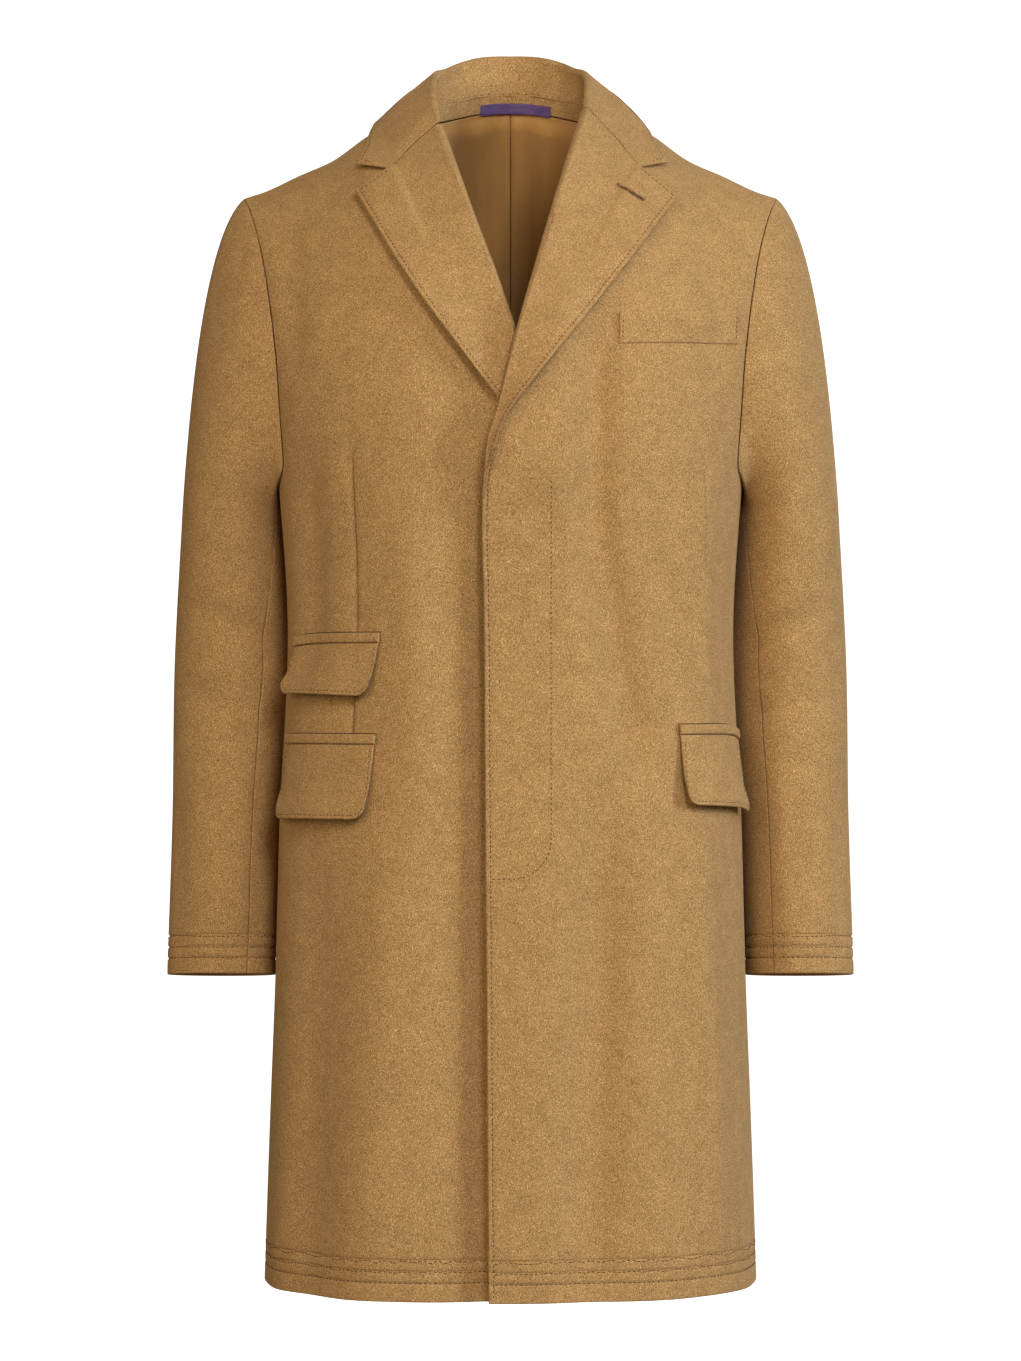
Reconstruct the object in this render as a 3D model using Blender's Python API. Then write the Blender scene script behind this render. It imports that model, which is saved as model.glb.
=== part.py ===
"""Single-breasted wool topcoat with a covered front, filled out as when worn, hollow and open.

Metres, +Z up. The front faces -Y and the wearer's left is +X. The origin lies between the two
shoulder neck points, where the wearer carries the coat.
"""
import math

import bpy
import numpy as np

HALF_TURN = math.pi
QUARTER_TURN = math.pi / 2

# Cloth and clearances
WOOL = 0.0023            # wall of the wool panels
TURNED = 0.0028          # lapels, flaps and welt: cloth and facing together
COLLAR_WALL = 0.0026
LINING_WALL = 0.0012
LABEL_WALL = 0.0008
LABEL_GAP = 0.0009
SEAM = 0.0003            # gap between two sewn pieces
LIE = 0.0010             # gap under a piece that lies on a curved panel
ROLL_LIFT = 0.0005       # lapels and collar lie this much softer

# Levels of the body
CHEST_Z = -0.300
HEM_Z = -1.006
ARMPIT_DROP = 0.022      # the armhole's lowest point below the chest line
SQUARENESS = 2.35        # exponent of the body's rounded sections
SIDE_SEAM = 1.62         # angle of the side seam from the centre front
SHOULDER_HALF = 0.247    # half width of the upper body's surface, outside the armhole
WIDEN = 1.2              # how late the upper body widens to the shoulder
FRONT_RISE, FRONT_ROUND = 2.2, 1.4   # how upright the chest is, how round it turns over the shoulder
BACK_RISE, BACK_ROUND = 3.0, 1.8
SEAM_TOP = QUARTER_TURN - 0.008      # the shoulder seam, just short of the ridge

# Body sections: level, half width, depth in front and behind
BODY = {
    "z": (-1.006, -0.860, -0.740, -0.610, -0.435, -0.300),
    "half": (0.2135, 0.2085, 0.2040, 0.2005, 0.1935, 0.2025),
    "front": (0.171, 0.164, 0.158, 0.153, 0.147, 0.155),
    "back": (0.172, 0.165, 0.157, 0.148, 0.128, 0.145),
}
# Soft folds of the skirt: angle from the centre front, width, depth, level where they begin
FOLDS = {
    "angle": (0.62, 1.12, 2.05, 2.62, -0.55, -1.05, -2.05, -2.62),
    "width": (0.17, 0.15, 0.20, 0.18, 0.16, 0.15, 0.20, 0.18),
    "depth": (0.0040, 0.0035, 0.0060, 0.0050, 0.0035, 0.0040, 0.0060, 0.0050),
    "top": (-0.66, -0.72, -0.55, -0.60, -0.70, -0.66, -0.55, -0.60),
}
# Shoulder line over the ridge, carried on to the centre under the collar
SHOULDER = {
    "x": (-0.035, 0.000, 0.035, 0.070, 0.100, 0.127, 0.153, 0.184, 0.214, 0.2325, 0.260),
    "z": (0.052, 0.072, 0.052, 0.018, -0.001, -0.019, -0.0355, -0.049, -0.063, -0.069, -0.080),
}
# Armhole seams from the chest line to the shoulder tip
TIP_X = 0.2325
ARMHOLE_FRONT = {
    "z": (-0.300, -0.288, -0.213, -0.176, -0.138),
    "x": (0.1950, 0.1957, 0.2008, 0.2051, 0.2111),
}
ARMHOLE_BACK = {
    "z": (-0.300, -0.280, -0.230, -0.180, -0.130),
    "x": (0.1950, 0.1970, 0.2020, 0.2070, 0.2140),
}

# Inner edge of each front, on its own side of the centre: lap edge, roll line, then neckline
EDGE_LEFT = {
    "z": (-1.006, -0.670, -0.430, -0.340, -0.289, -0.257, -0.192, -0.100, -0.040, -0.014, 0.002),
    "x": (-0.018, -0.0204, -0.0221, -0.0235, -0.0188, -0.0096, 0.0063, 0.033, 0.0535, 0.0700, 0.0735),
}
EDGE_RIGHT = {
    "z": (-1.006, -0.670, -0.430, -0.340, -0.300, -0.257, -0.185, -0.100, -0.040, -0.014, 0.002),
    "x": (-0.030, -0.030, -0.032, -0.034, -0.033, -0.026, -0.0021, 0.030, 0.0525, 0.0700, 0.0735),
}
NECK_POINT_X = 0.076
BACK_NECK = {
    "x": (-0.030, 0.0, 0.030, 0.055, 0.070, 0.076),
    "z": (0.0285, 0.033, 0.0285, 0.0165, 0.0145, 0.0141),
}

# How the left front laps over the right
LAP_FULL, LAP_NONE = 0.035, 0.085    # distance from the centre where the lap is whole, and where it ends
LAP_OVER, LAP_UNDER = 0.0006, 0.0027
LAPEL_STEP = 0.0046                  # the left front is raised this much over the right lapel
STEP_LOW, STEP_LOW_END = -0.300, -0.350
STEP_HIGH, STEP_HIGH_END = -0.185, -0.120

# Lapels, on their own side: gorge top, notch, tip, and outer edge down to the break
LAPEL_LEFT = {
    "roll_z": (-0.335, -0.289, -0.257, -0.192, -0.100, -0.012),
    "roll_x": (-0.0230, -0.0188, -0.0096, 0.0063, 0.0320, 0.0590),
    "edge_z": (-0.325, -0.293, -0.268, -0.226, -0.150),
    "edge_x": (-0.0215, -0.0130, -0.0030, 0.0285, 0.0880),
    "notch": (0.1116, -0.0590), "tip": (0.1386, -0.0860),
}
LAPEL_RIGHT = {
    "roll_z": (-0.310, -0.283, -0.257, -0.185, -0.100, -0.012),
    "roll_x": (-0.0330, -0.0310, -0.0250, -0.0021, 0.0290, 0.0600),
    "edge_z": (-0.300, -0.275, -0.257, -0.222, -0.150),
    "edge_x": (-0.0300, -0.0080, 0.0060, 0.0330, 0.0850),
    "notch": (0.1015, -0.0590), "tip": (0.1285, -0.0790),
}

# Collar from the centre back to its front end: stand's foot, fold, and place of the fall's edge
COLLAR = {
    "s": (-0.35, 0.0, 0.35, 0.62, 0.80, 0.91, 1.0),
    "foot_x": (-0.0300, 0.0, 0.0300, 0.0535, 0.0722, 0.0695, 0.0657),
    "foot_y": (0.0605, 0.0705, 0.0605, 0.0440, 0.0000, -0.0275, -0.0430),
    "foot_z": (0.0305, 0.0340, 0.0305, 0.0205, 0.0170, 0.0040, -0.0085),
    "fold_x": (-0.0315, 0.0, 0.0315, 0.0530, 0.0655, 0.0650, 0.0597),
    "fold_y": (0.0690, 0.0780, 0.0690, 0.0480, 0.0080, -0.0230, -0.0535),
    "fold_z": (0.0640, 0.0670, 0.0640, 0.0555, 0.0435, 0.0200, -0.0078),
    "edge_x": (-0.0460, 0.0, 0.0460, 0.0860, 0.1200, 0.1285, 0.1310),
    "edge_z": (0.0080, 0.0140, 0.0080, -0.0060, -0.0144, -0.0350, -0.0545),
}
COLLAR_RIDGE = 0.80      # where the fall's edge crosses the shoulder seam
FOLD_RADIUS = 0.0039
FALL_BULGE = 0.0015
COLLAR_NOTCH = {"left": (0.1116, -0.0590), "right": (0.1015, -0.0590)}
COLLAR_TIP = {"left": (0.1310, -0.0545), "right": (0.1280, -0.0545)}

# Sleeve sections below the armhole: level, centre, half width, half depth
SLEEVE = {
    "z": (-0.738, -0.610, -0.470, -0.345),
    "x": (0.25245, 0.24825, 0.24275, 0.24285),
    "y": (0.016, 0.028, 0.040, 0.030),
    "half": (0.04725, 0.04805, 0.05225, 0.04485),
    "depth": (0.0500, 0.0560, 0.0640, 0.0730),
}
CAP_SLOPE = (0.76, 0.0, -0.65)       # direction in which the sleeve leaves the armhole
CAP_START, CAP_END = 0.50, 0.85      # how far each end of the cap's curve reaches, of its length
CAP_STEP = 0.02                      # the cap arrives along the sleeve's run over this step
FOREARM_SEAM, HINDARM_SEAM = 9, 15   # columns of the sleeve's two seams, from the shoulder over the front

# Pockets, on their own side of the coat
WELT_CHEST = {"x": (0.0912, 0.1934), "top": (-0.1792, -0.1725), "bottom": (-0.2053, -0.2015)}
# Flaps: front end (x), outer end (angle round the body), mouth level, depth, slant, corner radius
POCKETS = {
    "ticket": {"side": -1, "x": 0.109, "end": 1.30, "z": -0.4565,
               "drop": 0.0430, "slant": 0.0040, "corner": 0.012},
    "right": {"side": -1, "x": 0.113, "end": 1.34, "z": -0.5420,
              "drop": 0.0640, "slant": 0.0010, "corner": 0.014},
    "left": {"side": 1, "x": 0.142, "end": 1.36, "z": -0.5340,
             "drop": 0.0620, "slant": 0.0050, "corner": 0.016},
}
JET_HEIGHT = 0.0085
JET_OVERHANG = 0.02      # angle by which a jetting passes its flap at each end

# Inside of the back neck
LINING_COLUMNS = 7       # columns of the back that the visible lining covers
LABEL_HALF, LABEL_TOP, LABEL_FOOT = 0.031, 0.0265, 0.0165

# Fineness of the pieces: rows and columns of their grids, as shares of their length and breadth
CAP_RINGS, ARM_RINGS = 8, 10
LAPEL_ROWS = np.linspace(0.0, 1.0, 15)
NOTCH_SHARE = 0.79       # place of the notch across the lapel and the collar's fall
GORGE_START = 0.55       # how far up the lapel's rows begin to turn to the gorge
LAPEL_COLUMNS = np.array([0.0, 0.16, 0.32, 0.48, 0.64, NOTCH_SHARE, 0.90, 1.0])
COLLAR_ROWS = np.array([0.0, 0.12, 0.24, 0.36, 0.48, 0.58, 0.68, 0.76, 0.83, 0.89, 0.94, 0.97, 1.0])
FOLD_ANGLES = np.radians((180, 130, 90, 50, 0))
FALL_COLUMNS = np.array([0.0, 0.2, 0.4, 0.6, NOTCH_SHARE, 1.0])
FOLD_END = 6             # column of the collar where the fold ends and the fall begins
WELT_ROWS, WELT_COLUMNS = 4, 9
FLAP_ROWS = 5
FLAP_COLUMNS = np.array([0.0, 0.02, 0.06, 0.12, 0.25, 0.40, 0.55, 0.70, 0.82, 0.92, 0.97, 1.0])
JET_ROWS, JET_COLUMNS = 3, 11
LABEL_ROWS, LABEL_COLUMNS = 3, 9
SLOPE_STEP = 0.002       # step for the slopes of the body's surface
RIDGE_SHY = 0.03         # slopes are taken this far short of the ridge, where the surface turns over
SHARP_EDGE = math.radians(50)

# Colours
CAMEL = (0.42, 0.235, 0.095, 1.0)
SATIN_BROWN = (0.20, 0.10, 0.035, 1.0)
LABEL_PURPLE = (0.11, 0.065, 0.24, 1.0)
WOOL_ROUGH, SATIN_ROUGH, LABEL_ROUGH = 0.9, 0.45, 0.6


def smooth(xs, ys, at):
    """Cubic curve through a short table, with slopes from neighbouring points."""
    xs = np.asarray(xs, float)
    ys = np.asarray(ys, float)
    slopes = np.gradient(ys, xs)
    at = np.clip(at, xs[0], xs[-1])
    k = np.clip(np.searchsorted(xs, at) - 1, 0, len(xs) - 2)
    width = xs[k + 1] - xs[k]
    t = (at - xs[k]) / width
    rise = ys[k + 1] - ys[k]
    start = slopes[k] * width
    end = slopes[k + 1] * width
    return ys[k] + t * (start + t * (3 * rise - 2 * start - end + t * (start + end - 2 * rise)))


def ramp(start, end, at):
    """Soft step from 0 at start to 1 at end."""
    t = np.clip((at - start) / (end - start), 0.0, 1.0)
    return t * t * (3 - 2 * t)


def unit(v):
    return v / np.maximum(np.linalg.norm(v, axis=-1, keepdims=True), 1e-12)


def shoulder_z(x):
    return smooth(SHOULDER["x"], SHOULDER["z"], np.abs(x))


def fold_depth(phi, z):
    """Sum of the skirt's soft folds, each a smooth ridge that deepens towards the hem."""
    total = np.zeros(np.broadcast(phi, z).shape)
    for angle, width, depth, top in zip(*FOLDS.values()):
        total += depth * np.exp(-((phi - angle) / width) ** 2) * ramp(top, HEM_Z, z)
    return total


def body_surface(phi, level):
    """Outer surface of the body at an angle from the centre front.

    Below the chest line the level is in metres under it, above it is an angle over the shoulder.
    """
    s, c = np.sin(phi), np.cos(phi)
    over = np.clip(level, 0.0, QUARTER_TURN)
    z_low = CHEST_Z + np.minimum(level, 0.0)
    behind = c < 0
    rise = np.where(behind, BACK_RISE, FRONT_RISE)
    roundness = np.where(behind, BACK_ROUND, FRONT_ROUND)
    climb = np.sin(over) ** (2 / rise)
    fold = fold_depth(phi, z_low)
    half = smooth(BODY["z"], BODY["half"], z_low) + fold
    half = half + (SHOULDER_HALF - half) * climb ** WIDEN
    x = half * np.sign(s) * np.abs(s) ** (2 / SQUARENESS)
    z = z_low + (shoulder_z(x) - CHEST_Z) * climb
    front = smooth(BODY["z"], BODY["front"], z_low)
    deep = np.where(behind, smooth(BODY["z"], BODY["back"], z_low), front) + fold
    y = deep * np.abs(c) ** (2 / SQUARENESS) * np.cos(over) ** (2 / roundness)
    return np.stack([x, np.where(behind, y, -y), z], -1)


def body_normal(phi, level):
    """Outward normal of the body, upright in the seam over the shoulder."""
    level = np.minimum(level, QUARTER_TURN - RIDGE_SHY)
    across = body_surface(phi + SLOPE_STEP, level) - body_surface(phi - SLOPE_STEP, level)
    along = body_surface(phi, level + SLOPE_STEP) - body_surface(phi, level - SLOPE_STEP)
    return unit(np.cross(across, along))


def body_place(x, z, behind=False):
    """Angle and level of the body's surface at a given x and z."""
    x, z = np.broadcast_arrays(np.asarray(x, float), np.asarray(z, float))
    climb = np.clip((z - CHEST_Z) / (shoulder_z(x) - CHEST_Z), 0.0, 1.0)
    rise = BACK_RISE if behind else FRONT_RISE
    over = np.arcsin(np.clip(climb ** (rise / 2), 0.0, 1.0))
    low = np.minimum(z, CHEST_Z)
    half = smooth(BODY["z"], BODY["half"], low)
    half = half + (SHOULDER_HALF - half) * climb ** WIDEN
    share = np.clip(np.abs(x) / half, 0.0, 1.0) ** (SQUARENESS / 2)
    phi = np.arcsin(share)
    phi = np.where(x < 0, -1.0, 1.0) * (HALF_TURN - phi if behind else phi)
    level = np.where(z < CHEST_Z, z - CHEST_Z, np.minimum(over, SEAM_TOP))
    return phi, level


def lap_shift(x, z, side):
    """How far a front stands off the body near the centre: the left over, the right under."""
    near = 1.0 - ramp(LAP_FULL, LAP_NONE, np.abs(x))
    step = ramp(STEP_LOW_END, STEP_LOW, z) * (1.0 - ramp(STEP_HIGH, STEP_HIGH_END, z))
    if side > 0:
        return near * (LAP_OVER * (1.0 - ramp(STEP_HIGH, STEP_HIGH_END, z)) + LAPEL_STEP * step)
    return -near * LAP_UNDER * (1.0 - ramp(STEP_HIGH, STEP_HIGH_END, z))


def retreat(grid, gap, edges):
    """Draw the named edges of a grid of points back along the cloth by half a seam's gap."""
    moved = grid.copy()
    if "first_row" in edges:
        moved[0] += unit(grid[1] - grid[0]) * gap
    if "last_row" in edges:
        moved[-1] += unit(grid[-2] - grid[-1]) * gap
    if "first_column" in edges:
        moved[:, 0] += unit(grid[:, 1] - grid[:, 0]) * gap
    if "last_column" in edges:
        moved[:, -1] += unit(grid[:, -2] - grid[:, -1]) * gap
    return moved


def wall(name, face, back, colour, roughness=WOOL_ROUGH):
    """Closed wall between two matching grids of points: its face and its back."""
    rows, columns = face.shape[:2]
    count = rows * columns
    index = np.arange(count).reshape(rows, columns)
    corners = [index[:-1, :-1], index[:-1, 1:], index[1:, 1:], index[1:, :-1]]
    skin = split_quads(np.stack(corners, -1).reshape(-1, 4))
    loop = np.concatenate([index[0, :-1], index[:-1, -1], index[-1, :0:-1], index[:0:-1, 0]])
    nxt = np.roll(loop, -1)
    sides = split_quads(np.stack([loop, loop + count, nxt + count, nxt], -1))
    faces = np.concatenate([skin, skin[:, ::-1] + count, sides])
    points = np.concatenate([face.reshape(-1, 3), back.reshape(-1, 3)])
    if signed_volume(points, faces) < 0:
        faces = faces[:, ::-1]
    mesh = bpy.data.meshes.new(name)
    mesh.from_pydata(points.tolist(), [], faces.tolist())
    mesh.update()
    mesh.shade_smooth()
    mesh.set_sharp_from_angle(angle=SHARP_EDGE)
    mesh.materials.append(cloth_material(name, colour, roughness))
    piece = bpy.data.objects.new(name, mesh)
    coat.objects.link(piece)
    return piece


def split_quads(quads):
    """Two triangles for each four-sided cell, along the same diagonal, so that layers stay parallel."""
    return np.concatenate([quads[:, [0, 1, 2]], quads[:, [0, 2, 3]]])


def signed_volume(points, faces):
    a, b, c = (points[faces[:, k]] for k in range(3))
    return float(np.sum(np.cross(a, b) * c))


def cloth_material(name, colour, roughness):
    material = bpy.data.materials.new(name)
    material.use_nodes = True
    shader = material.node_tree.nodes["Principled BSDF"]
    shader.inputs["Base Color"].default_value = colour
    shader.inputs["Roughness"].default_value = roughness
    shader.inputs["Metallic"].default_value = 0.0
    return material


def mirrored(grid, side):
    """A grid worked out on the wearer's left, carried to the given side."""
    return grid * np.array([side, 1.0, 1.0])


# Levels of the body's rows: hem to armpit, then over the shoulder
SKIRT_ROWS = np.array([HEM_Z - CHEST_Z, -0.62, -0.53, -0.45, -0.38, -0.31,
                       -0.245, -0.20, -0.155, -0.11, -0.055, -ARMPIT_DROP])
ARM_ROWS = np.array([-0.9, -0.55]) * ARMPIT_DROP
OVER_SHARES = np.array([0.0, 0.05, 0.10, 0.18, 0.28, 0.38, 0.48, 0.58, 0.68, 0.78, 0.885, 0.95, 1.0])
OVER_ROWS = OVER_SHARES * SEAM_TOP
BODY_ROWS = np.concatenate([SKIRT_ROWS, ARM_ROWS, OVER_ROWS])
FACING_ROW = len(BODY_ROWS) - 3      # row of the back where the neck facing ends and the lining begins
ARMPIT_ROW = len(SKIRT_ROWS) - 1     # row where the back is parted
LINING_ROW = ARMPIT_ROW - 1          # row of the back where the visible lining ends
FRONT_COLUMNS = np.linspace(0.0, 1.0, 15)
BACK_COLUMNS = np.array([0.0, 0.05, 0.10, 0.155, 0.21, 0.265, 0.40, 0.52, 0.64, 0.76, 0.88, 1.0])
NECK_COLUMN = 5          # column of the back that ends at the shoulder neck point


def outer_phi(level, behind):
    """Angle of the side seam and, above it, of the armhole."""
    table = ARMHOLE_BACK if behind else ARMHOLE_FRONT
    phi, place = body_place(table["x"], table["z"], behind)
    tip, _ = body_place(TIP_X, shoulder_z(TIP_X), behind)
    seam = smooth(np.append(place, QUARTER_TURN), np.append(phi, tip), np.maximum(level, 0.0))
    under = np.clip(-level / ARMPIT_DROP, 0.0, 1.0)
    return SIDE_SEAM + (seam - SIDE_SEAM) * np.sqrt(1.0 - under ** 2)


def inner_phi(level, side):
    """Angle of a front's inner edge: lap edge, roll line and neckline, to the shoulder neck point."""
    table = EDGE_LEFT if side > 0 else EDGE_RIGHT
    phi, place = body_place(table["x"], table["z"])
    neck, _ = body_place(NECK_POINT_X, shoulder_z(NECK_POINT_X))
    return smooth(np.append(place, QUARTER_TURN), np.append(phi, neck), level)


def make_front(name, side):
    """One front, from its lap edge to the side seam and armhole, hem to shoulder."""
    level = np.repeat(BODY_ROWS[:, None], len(FRONT_COLUMNS), 1)
    start = inner_phi(BODY_ROWS, side)[:, None]
    end = outer_phi(BODY_ROWS, False)[:, None]
    phi = start + (end - start) * FRONT_COLUMNS
    points, normal = side_front(phi, level, side)
    normal[-1, :, 1] = 0.0
    normal = unit(normal)
    face = retreat(points, SEAM / 2, ("last_column",))
    wall(name, mirrored(face, side), mirrored(face - normal * WOOL, side), CAMEL)


def side_front(phi, level, side, lift=0.0):
    """Points of a front worked out on its own side, whichever side of the coat it is on."""
    base = body_surface(phi, level)
    normal = body_normal(phi, level)
    shift = lap_shift(base[..., 0], base[..., 2], side) + lift
    return base + normal * np.asarray(shift)[..., None], normal


def back_grid(phi_end, rows):
    """Angles and levels of one back half: columns from the centre seam, top along the neck."""
    neck_end = BACK_COLUMNS[NECK_COLUMN]
    share = np.clip(BACK_COLUMNS / neck_end, 0.0, 1.0)
    neck_x = NECK_POINT_X * share
    neck_phi, neck_level = body_place(neck_x, smooth(BACK_NECK["x"], BACK_NECK["z"], neck_x), True)
    tip_phi = outer_phi(SEAM_TOP, True)
    beyond = np.clip((BACK_COLUMNS - neck_end) / (1 - neck_end), 0.0, 1.0)
    shoulder_phi = neck_phi[NECK_COLUMN] + (tip_phi - neck_phi[NECK_COLUMN]) * beyond
    end_phi = np.where(share < 1, neck_phi, shoulder_phi)
    end_level = np.where(share < 1, np.minimum(neck_level, SEAM_TOP), SEAM_TOP)
    low = HALF_TURN + (phi_end[:, None] - HALF_TURN) * BACK_COLUMNS
    blend = ramp(0.0, SEAM_TOP, rows)[:, None]
    phi = low + (end_phi - low) * blend
    phi[:, 0] = HALF_TURN
    level = np.where(rows[:, None] > 0, rows[:, None] * end_level / SEAM_TOP, rows[:, None])
    phi[:, -1] = phi_end
    return phi, level


def make_back(label, side):
    """One back half, from the centre seam to the side seam and armhole.

    It is parted at armpit level: below it the wall hangs, above it the wall bends in to neck and shoulder.
    """
    phi, level = back_grid(outer_phi(BODY_ROWS, True), BODY_ROWS)
    points = body_surface(phi, level)
    normal = body_normal(phi, level)
    normal[:, 0, 0] = 0.0
    normal[-1, NECK_COLUMN:, 1] = 0.0
    normal = unit(normal)
    face = retreat(points, SEAM / 2, ("first_column", "last_column"))
    for part, rows, edge in (("back_", slice(0, ARMPIT_ROW + 1), "last_row"),
                             ("back_top_", slice(ARMPIT_ROW, None), "first_row")):
        piece = retreat(face[rows], SEAM / 2, (edge,))
        wall(part + label, mirrored(piece, side), mirrored(piece - normal[rows] * WOOL, side), CAMEL)


def armhole_ring():
    """Points of the armhole from the shoulder tip over the front, under the arm and up the back."""
    rows = np.concatenate([[-ARMPIT_DROP], ARM_ROWS, OVER_ROWS])
    front, _ = side_front(outer_phi(rows, False), rows, 0)
    back = body_surface(outer_phi(rows, True), rows)
    tip = (front[-1] + back[-1]) / 2
    tangent_front = armhole_exit(outer_phi(rows, False), rows, 1)
    tangent_back = armhole_exit(outer_phi(rows, True), rows, -1)
    points = np.concatenate([[tip], front[-2::-1], back[1:-1]])
    tip_exit = unit(tangent_front[-1] + tangent_back[-1])
    exits = np.concatenate([[tip_exit], tangent_front[-2::-1], tangent_back[1:-1]])
    return points, exits


def armhole_exit(phi, level, turn):
    """Direction along the body's surface, out across the armhole seam."""
    points = body_surface(phi, level)
    normal = body_normal(phi, level)
    seam = np.gradient(points, axis=0)
    return unit(np.cross(seam, normal)) * turn


def sleeve_surface():
    """Rings of the sleeve from the armhole to the cuff, worked out on the wearer's left."""
    ring, exits = armhole_ring()
    count = len(ring)
    half = count // 2
    closed = np.concatenate([ring, ring[:1]])
    step = np.linalg.norm(np.diff(closed, axis=0), axis=1)
    front_share = np.concatenate([[0.0], np.cumsum(step[:half])]) / step[:half].sum()
    back_share = np.cumsum(step[half:])[:-1] / step[half:].sum()
    turn = HALF_TURN * np.concatenate([front_share, 1.0 + back_share])
    top = SLEEVE["z"][-1]
    cap_end = sleeve_section(turn, top)
    reach = np.linalg.norm(cap_end - ring, axis=1, keepdims=True)
    leave = unit(np.asarray(CAP_SLOPE)) * reach * CAP_START
    arrive = unit(sleeve_section(turn, top - CAP_STEP) - cap_end) * reach * CAP_END
    cap = []
    for t in np.linspace(0.0, 1.0, CAP_RINGS):
        cap.append((1 + 2 * t) * (1 - t) ** 2 * ring + t * (1 - t) ** 2 * leave
                   + t * t * (3 - 2 * t) * cap_end - t * t * (1 - t) * arrive)
    arm = [sleeve_section(turn, z) for z in np.linspace(top, SLEEVE["z"][0], ARM_RINGS)[1:]]
    return np.array(cap + arm), exits


def sleeve_section(turn, z):
    """Oval section of the sleeve at a level, from its outer side over the front."""
    x, y, half, depth = (smooth(SLEEVE["z"], SLEEVE[key], z) for key in ("x", "y", "half", "depth"))
    return np.stack([x + half * np.cos(turn), y - depth * np.sin(turn), np.full_like(turn, z)], -1)


def ring_normals(rings, exits):
    """Outward normals of the sleeve's rings, kept clear of the body's edge at the armhole."""
    around = np.roll(rings, -1, axis=1) - np.roll(rings, 1, axis=1)
    down = np.gradient(rings, axis=0)
    normal = unit(np.cross(around, down))
    clash = np.maximum(np.sum(normal[0] * exits, axis=-1, keepdims=True), 0.0)
    normal[0] = unit(normal[0] - clash * exits)
    return normal


def make_sleeve(side, label):
    """Top and under sleeve, parted at the forearm and hind-arm seams."""
    rings, exits = sleeve_surface()
    normal = ring_normals(rings, exits)
    count = rings.shape[1]
    under = np.arange(FOREARM_SEAM, HINDARM_SEAM + 1)
    top = np.arange(HINDARM_SEAM, count + FOREARM_SEAM + 1) % count
    for part, columns in (("topsleeve_", top), ("undersleeve_", under)):
        face = retreat(rings[:, columns], SEAM / 2, ("first_column", "last_column"))
        face[0] += unit(rings[1, columns] - rings[0, columns]) * SEAM
        inside = face - normal[:, columns] * WOOL
        wall(part + label, mirrored(face, side), mirrored(inside, side), CAMEL)


def lapel_grid(shape):
    """Places (x, z) of a lapel: rows from break to gorge, columns from roll line to outer edge."""
    marks = np.linspace(0.0, 1.0, len(shape["roll_z"]))
    edge_x = np.append(shape["edge_x"], shape["tip"][0])
    edge_z = np.append(shape["edge_z"], shape["tip"][1])
    roll = np.stack([smooth(marks, shape[key], LAPEL_ROWS) for key in ("roll_x", "roll_z")], -1)
    edge = np.stack([smooth(marks, values, LAPEL_ROWS) for values in (edge_x, edge_z)], -1)
    grid = roll[:, None] + (edge - roll)[:, None] * LAPEL_COLUMNS[None, :, None]
    gorge = corner_line(LAPEL_COLUMNS, roll[-1], shape["notch"], shape["tip"])
    grid += (gorge - grid[-1]) * ramp(GORGE_START, 1.0, LAPEL_ROWS)[:, None, None]
    return grid


def corner_line(across, start, notch, tip):
    """Line from the roll to the notch and on to the tip, each point a place (x, z)."""
    marks = (0.0, NOTCH_SHARE, 1.0)
    return np.stack([np.interp(across, marks, (start[k], notch[k], tip[k])) for k in (0, 1)], -1)


def make_lapel(name, side, shape):
    """Lapel: the facing side of a front, turned out along the roll line to lie on it."""
    grid = lapel_grid(shape)
    phi, level = body_place(grid[..., 0], grid[..., 1])
    face, normal = side_front(phi, level, side, LIE + ROLL_LIFT + TURNED)
    face = retreat(face, SEAM / 2, ("last_row",))
    wall(name, mirrored(face, side), mirrored(face - normal * TURNED, side), CAMEL)


def collar_half(side_name):
    """One half of the collar's visible face, rows from the centre back to the front end."""
    table = {key: smooth(COLLAR["s"], COLLAR[key], COLLAR_ROWS) for key in COLLAR if key != "s"}
    tip = COLLAR_TIP[side_name]
    table["edge_x"] += (tip[0] - table["edge_x"][-1]) * ramp(COLLAR_RIDGE, 1.0, COLLAR_ROWS)
    foot = np.stack([table["foot_x"], table["foot_y"], table["foot_z"]], -1)
    fold = np.stack([table["fold_x"], table["fold_y"], table["fold_z"]], -1)
    edge = collar_edge(table["edge_x"], table["edge_z"])
    down_stand = unit(foot - fold)
    down_fall = unit(edge - fold)
    up = -unit(down_stand + down_fall)
    out = unit(down_fall - up * np.sum(down_fall * up, -1, keepdims=True))
    centre = fold - up * FOLD_RADIUS
    path = [foot, (foot + centre - out * FOLD_RADIUS) / 2]
    for angle in FOLD_ANGLES:
        path.append(centre + FOLD_RADIUS * (math.cos(angle) * out + math.sin(angle) * up))
    start = path[-1]
    bulge = unit(np.cross(np.gradient(edge, axis=0), edge - start))
    bulge *= np.sign(np.sum(bulge * out, -1, keepdims=True))
    for share in FALL_COLUMNS[1:]:
        path.append(start + (edge - start) * share + bulge * FALL_BULGE * math.sin(HALF_TURN * share))
    return bend_to_gorge(np.stack(path, 1), side_name)


def collar_edge(x, z):
    """The fall's lower edge, lying on the back, over the shoulder seam and on the front."""
    lift = LIE + ROLL_LIFT + COLLAR_WALL
    edge = np.empty((len(COLLAR_ROWS), 3))
    for behind in (True, False):
        phi, level = body_place(x, np.minimum(z, shoulder_z(x)), behind)
        points = body_surface(phi, level) + body_normal(phi, level) * lift
        here = (COLLAR_ROWS < COLLAR_RIDGE) == behind
        edge[here] = points[here]
    return edge


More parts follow.
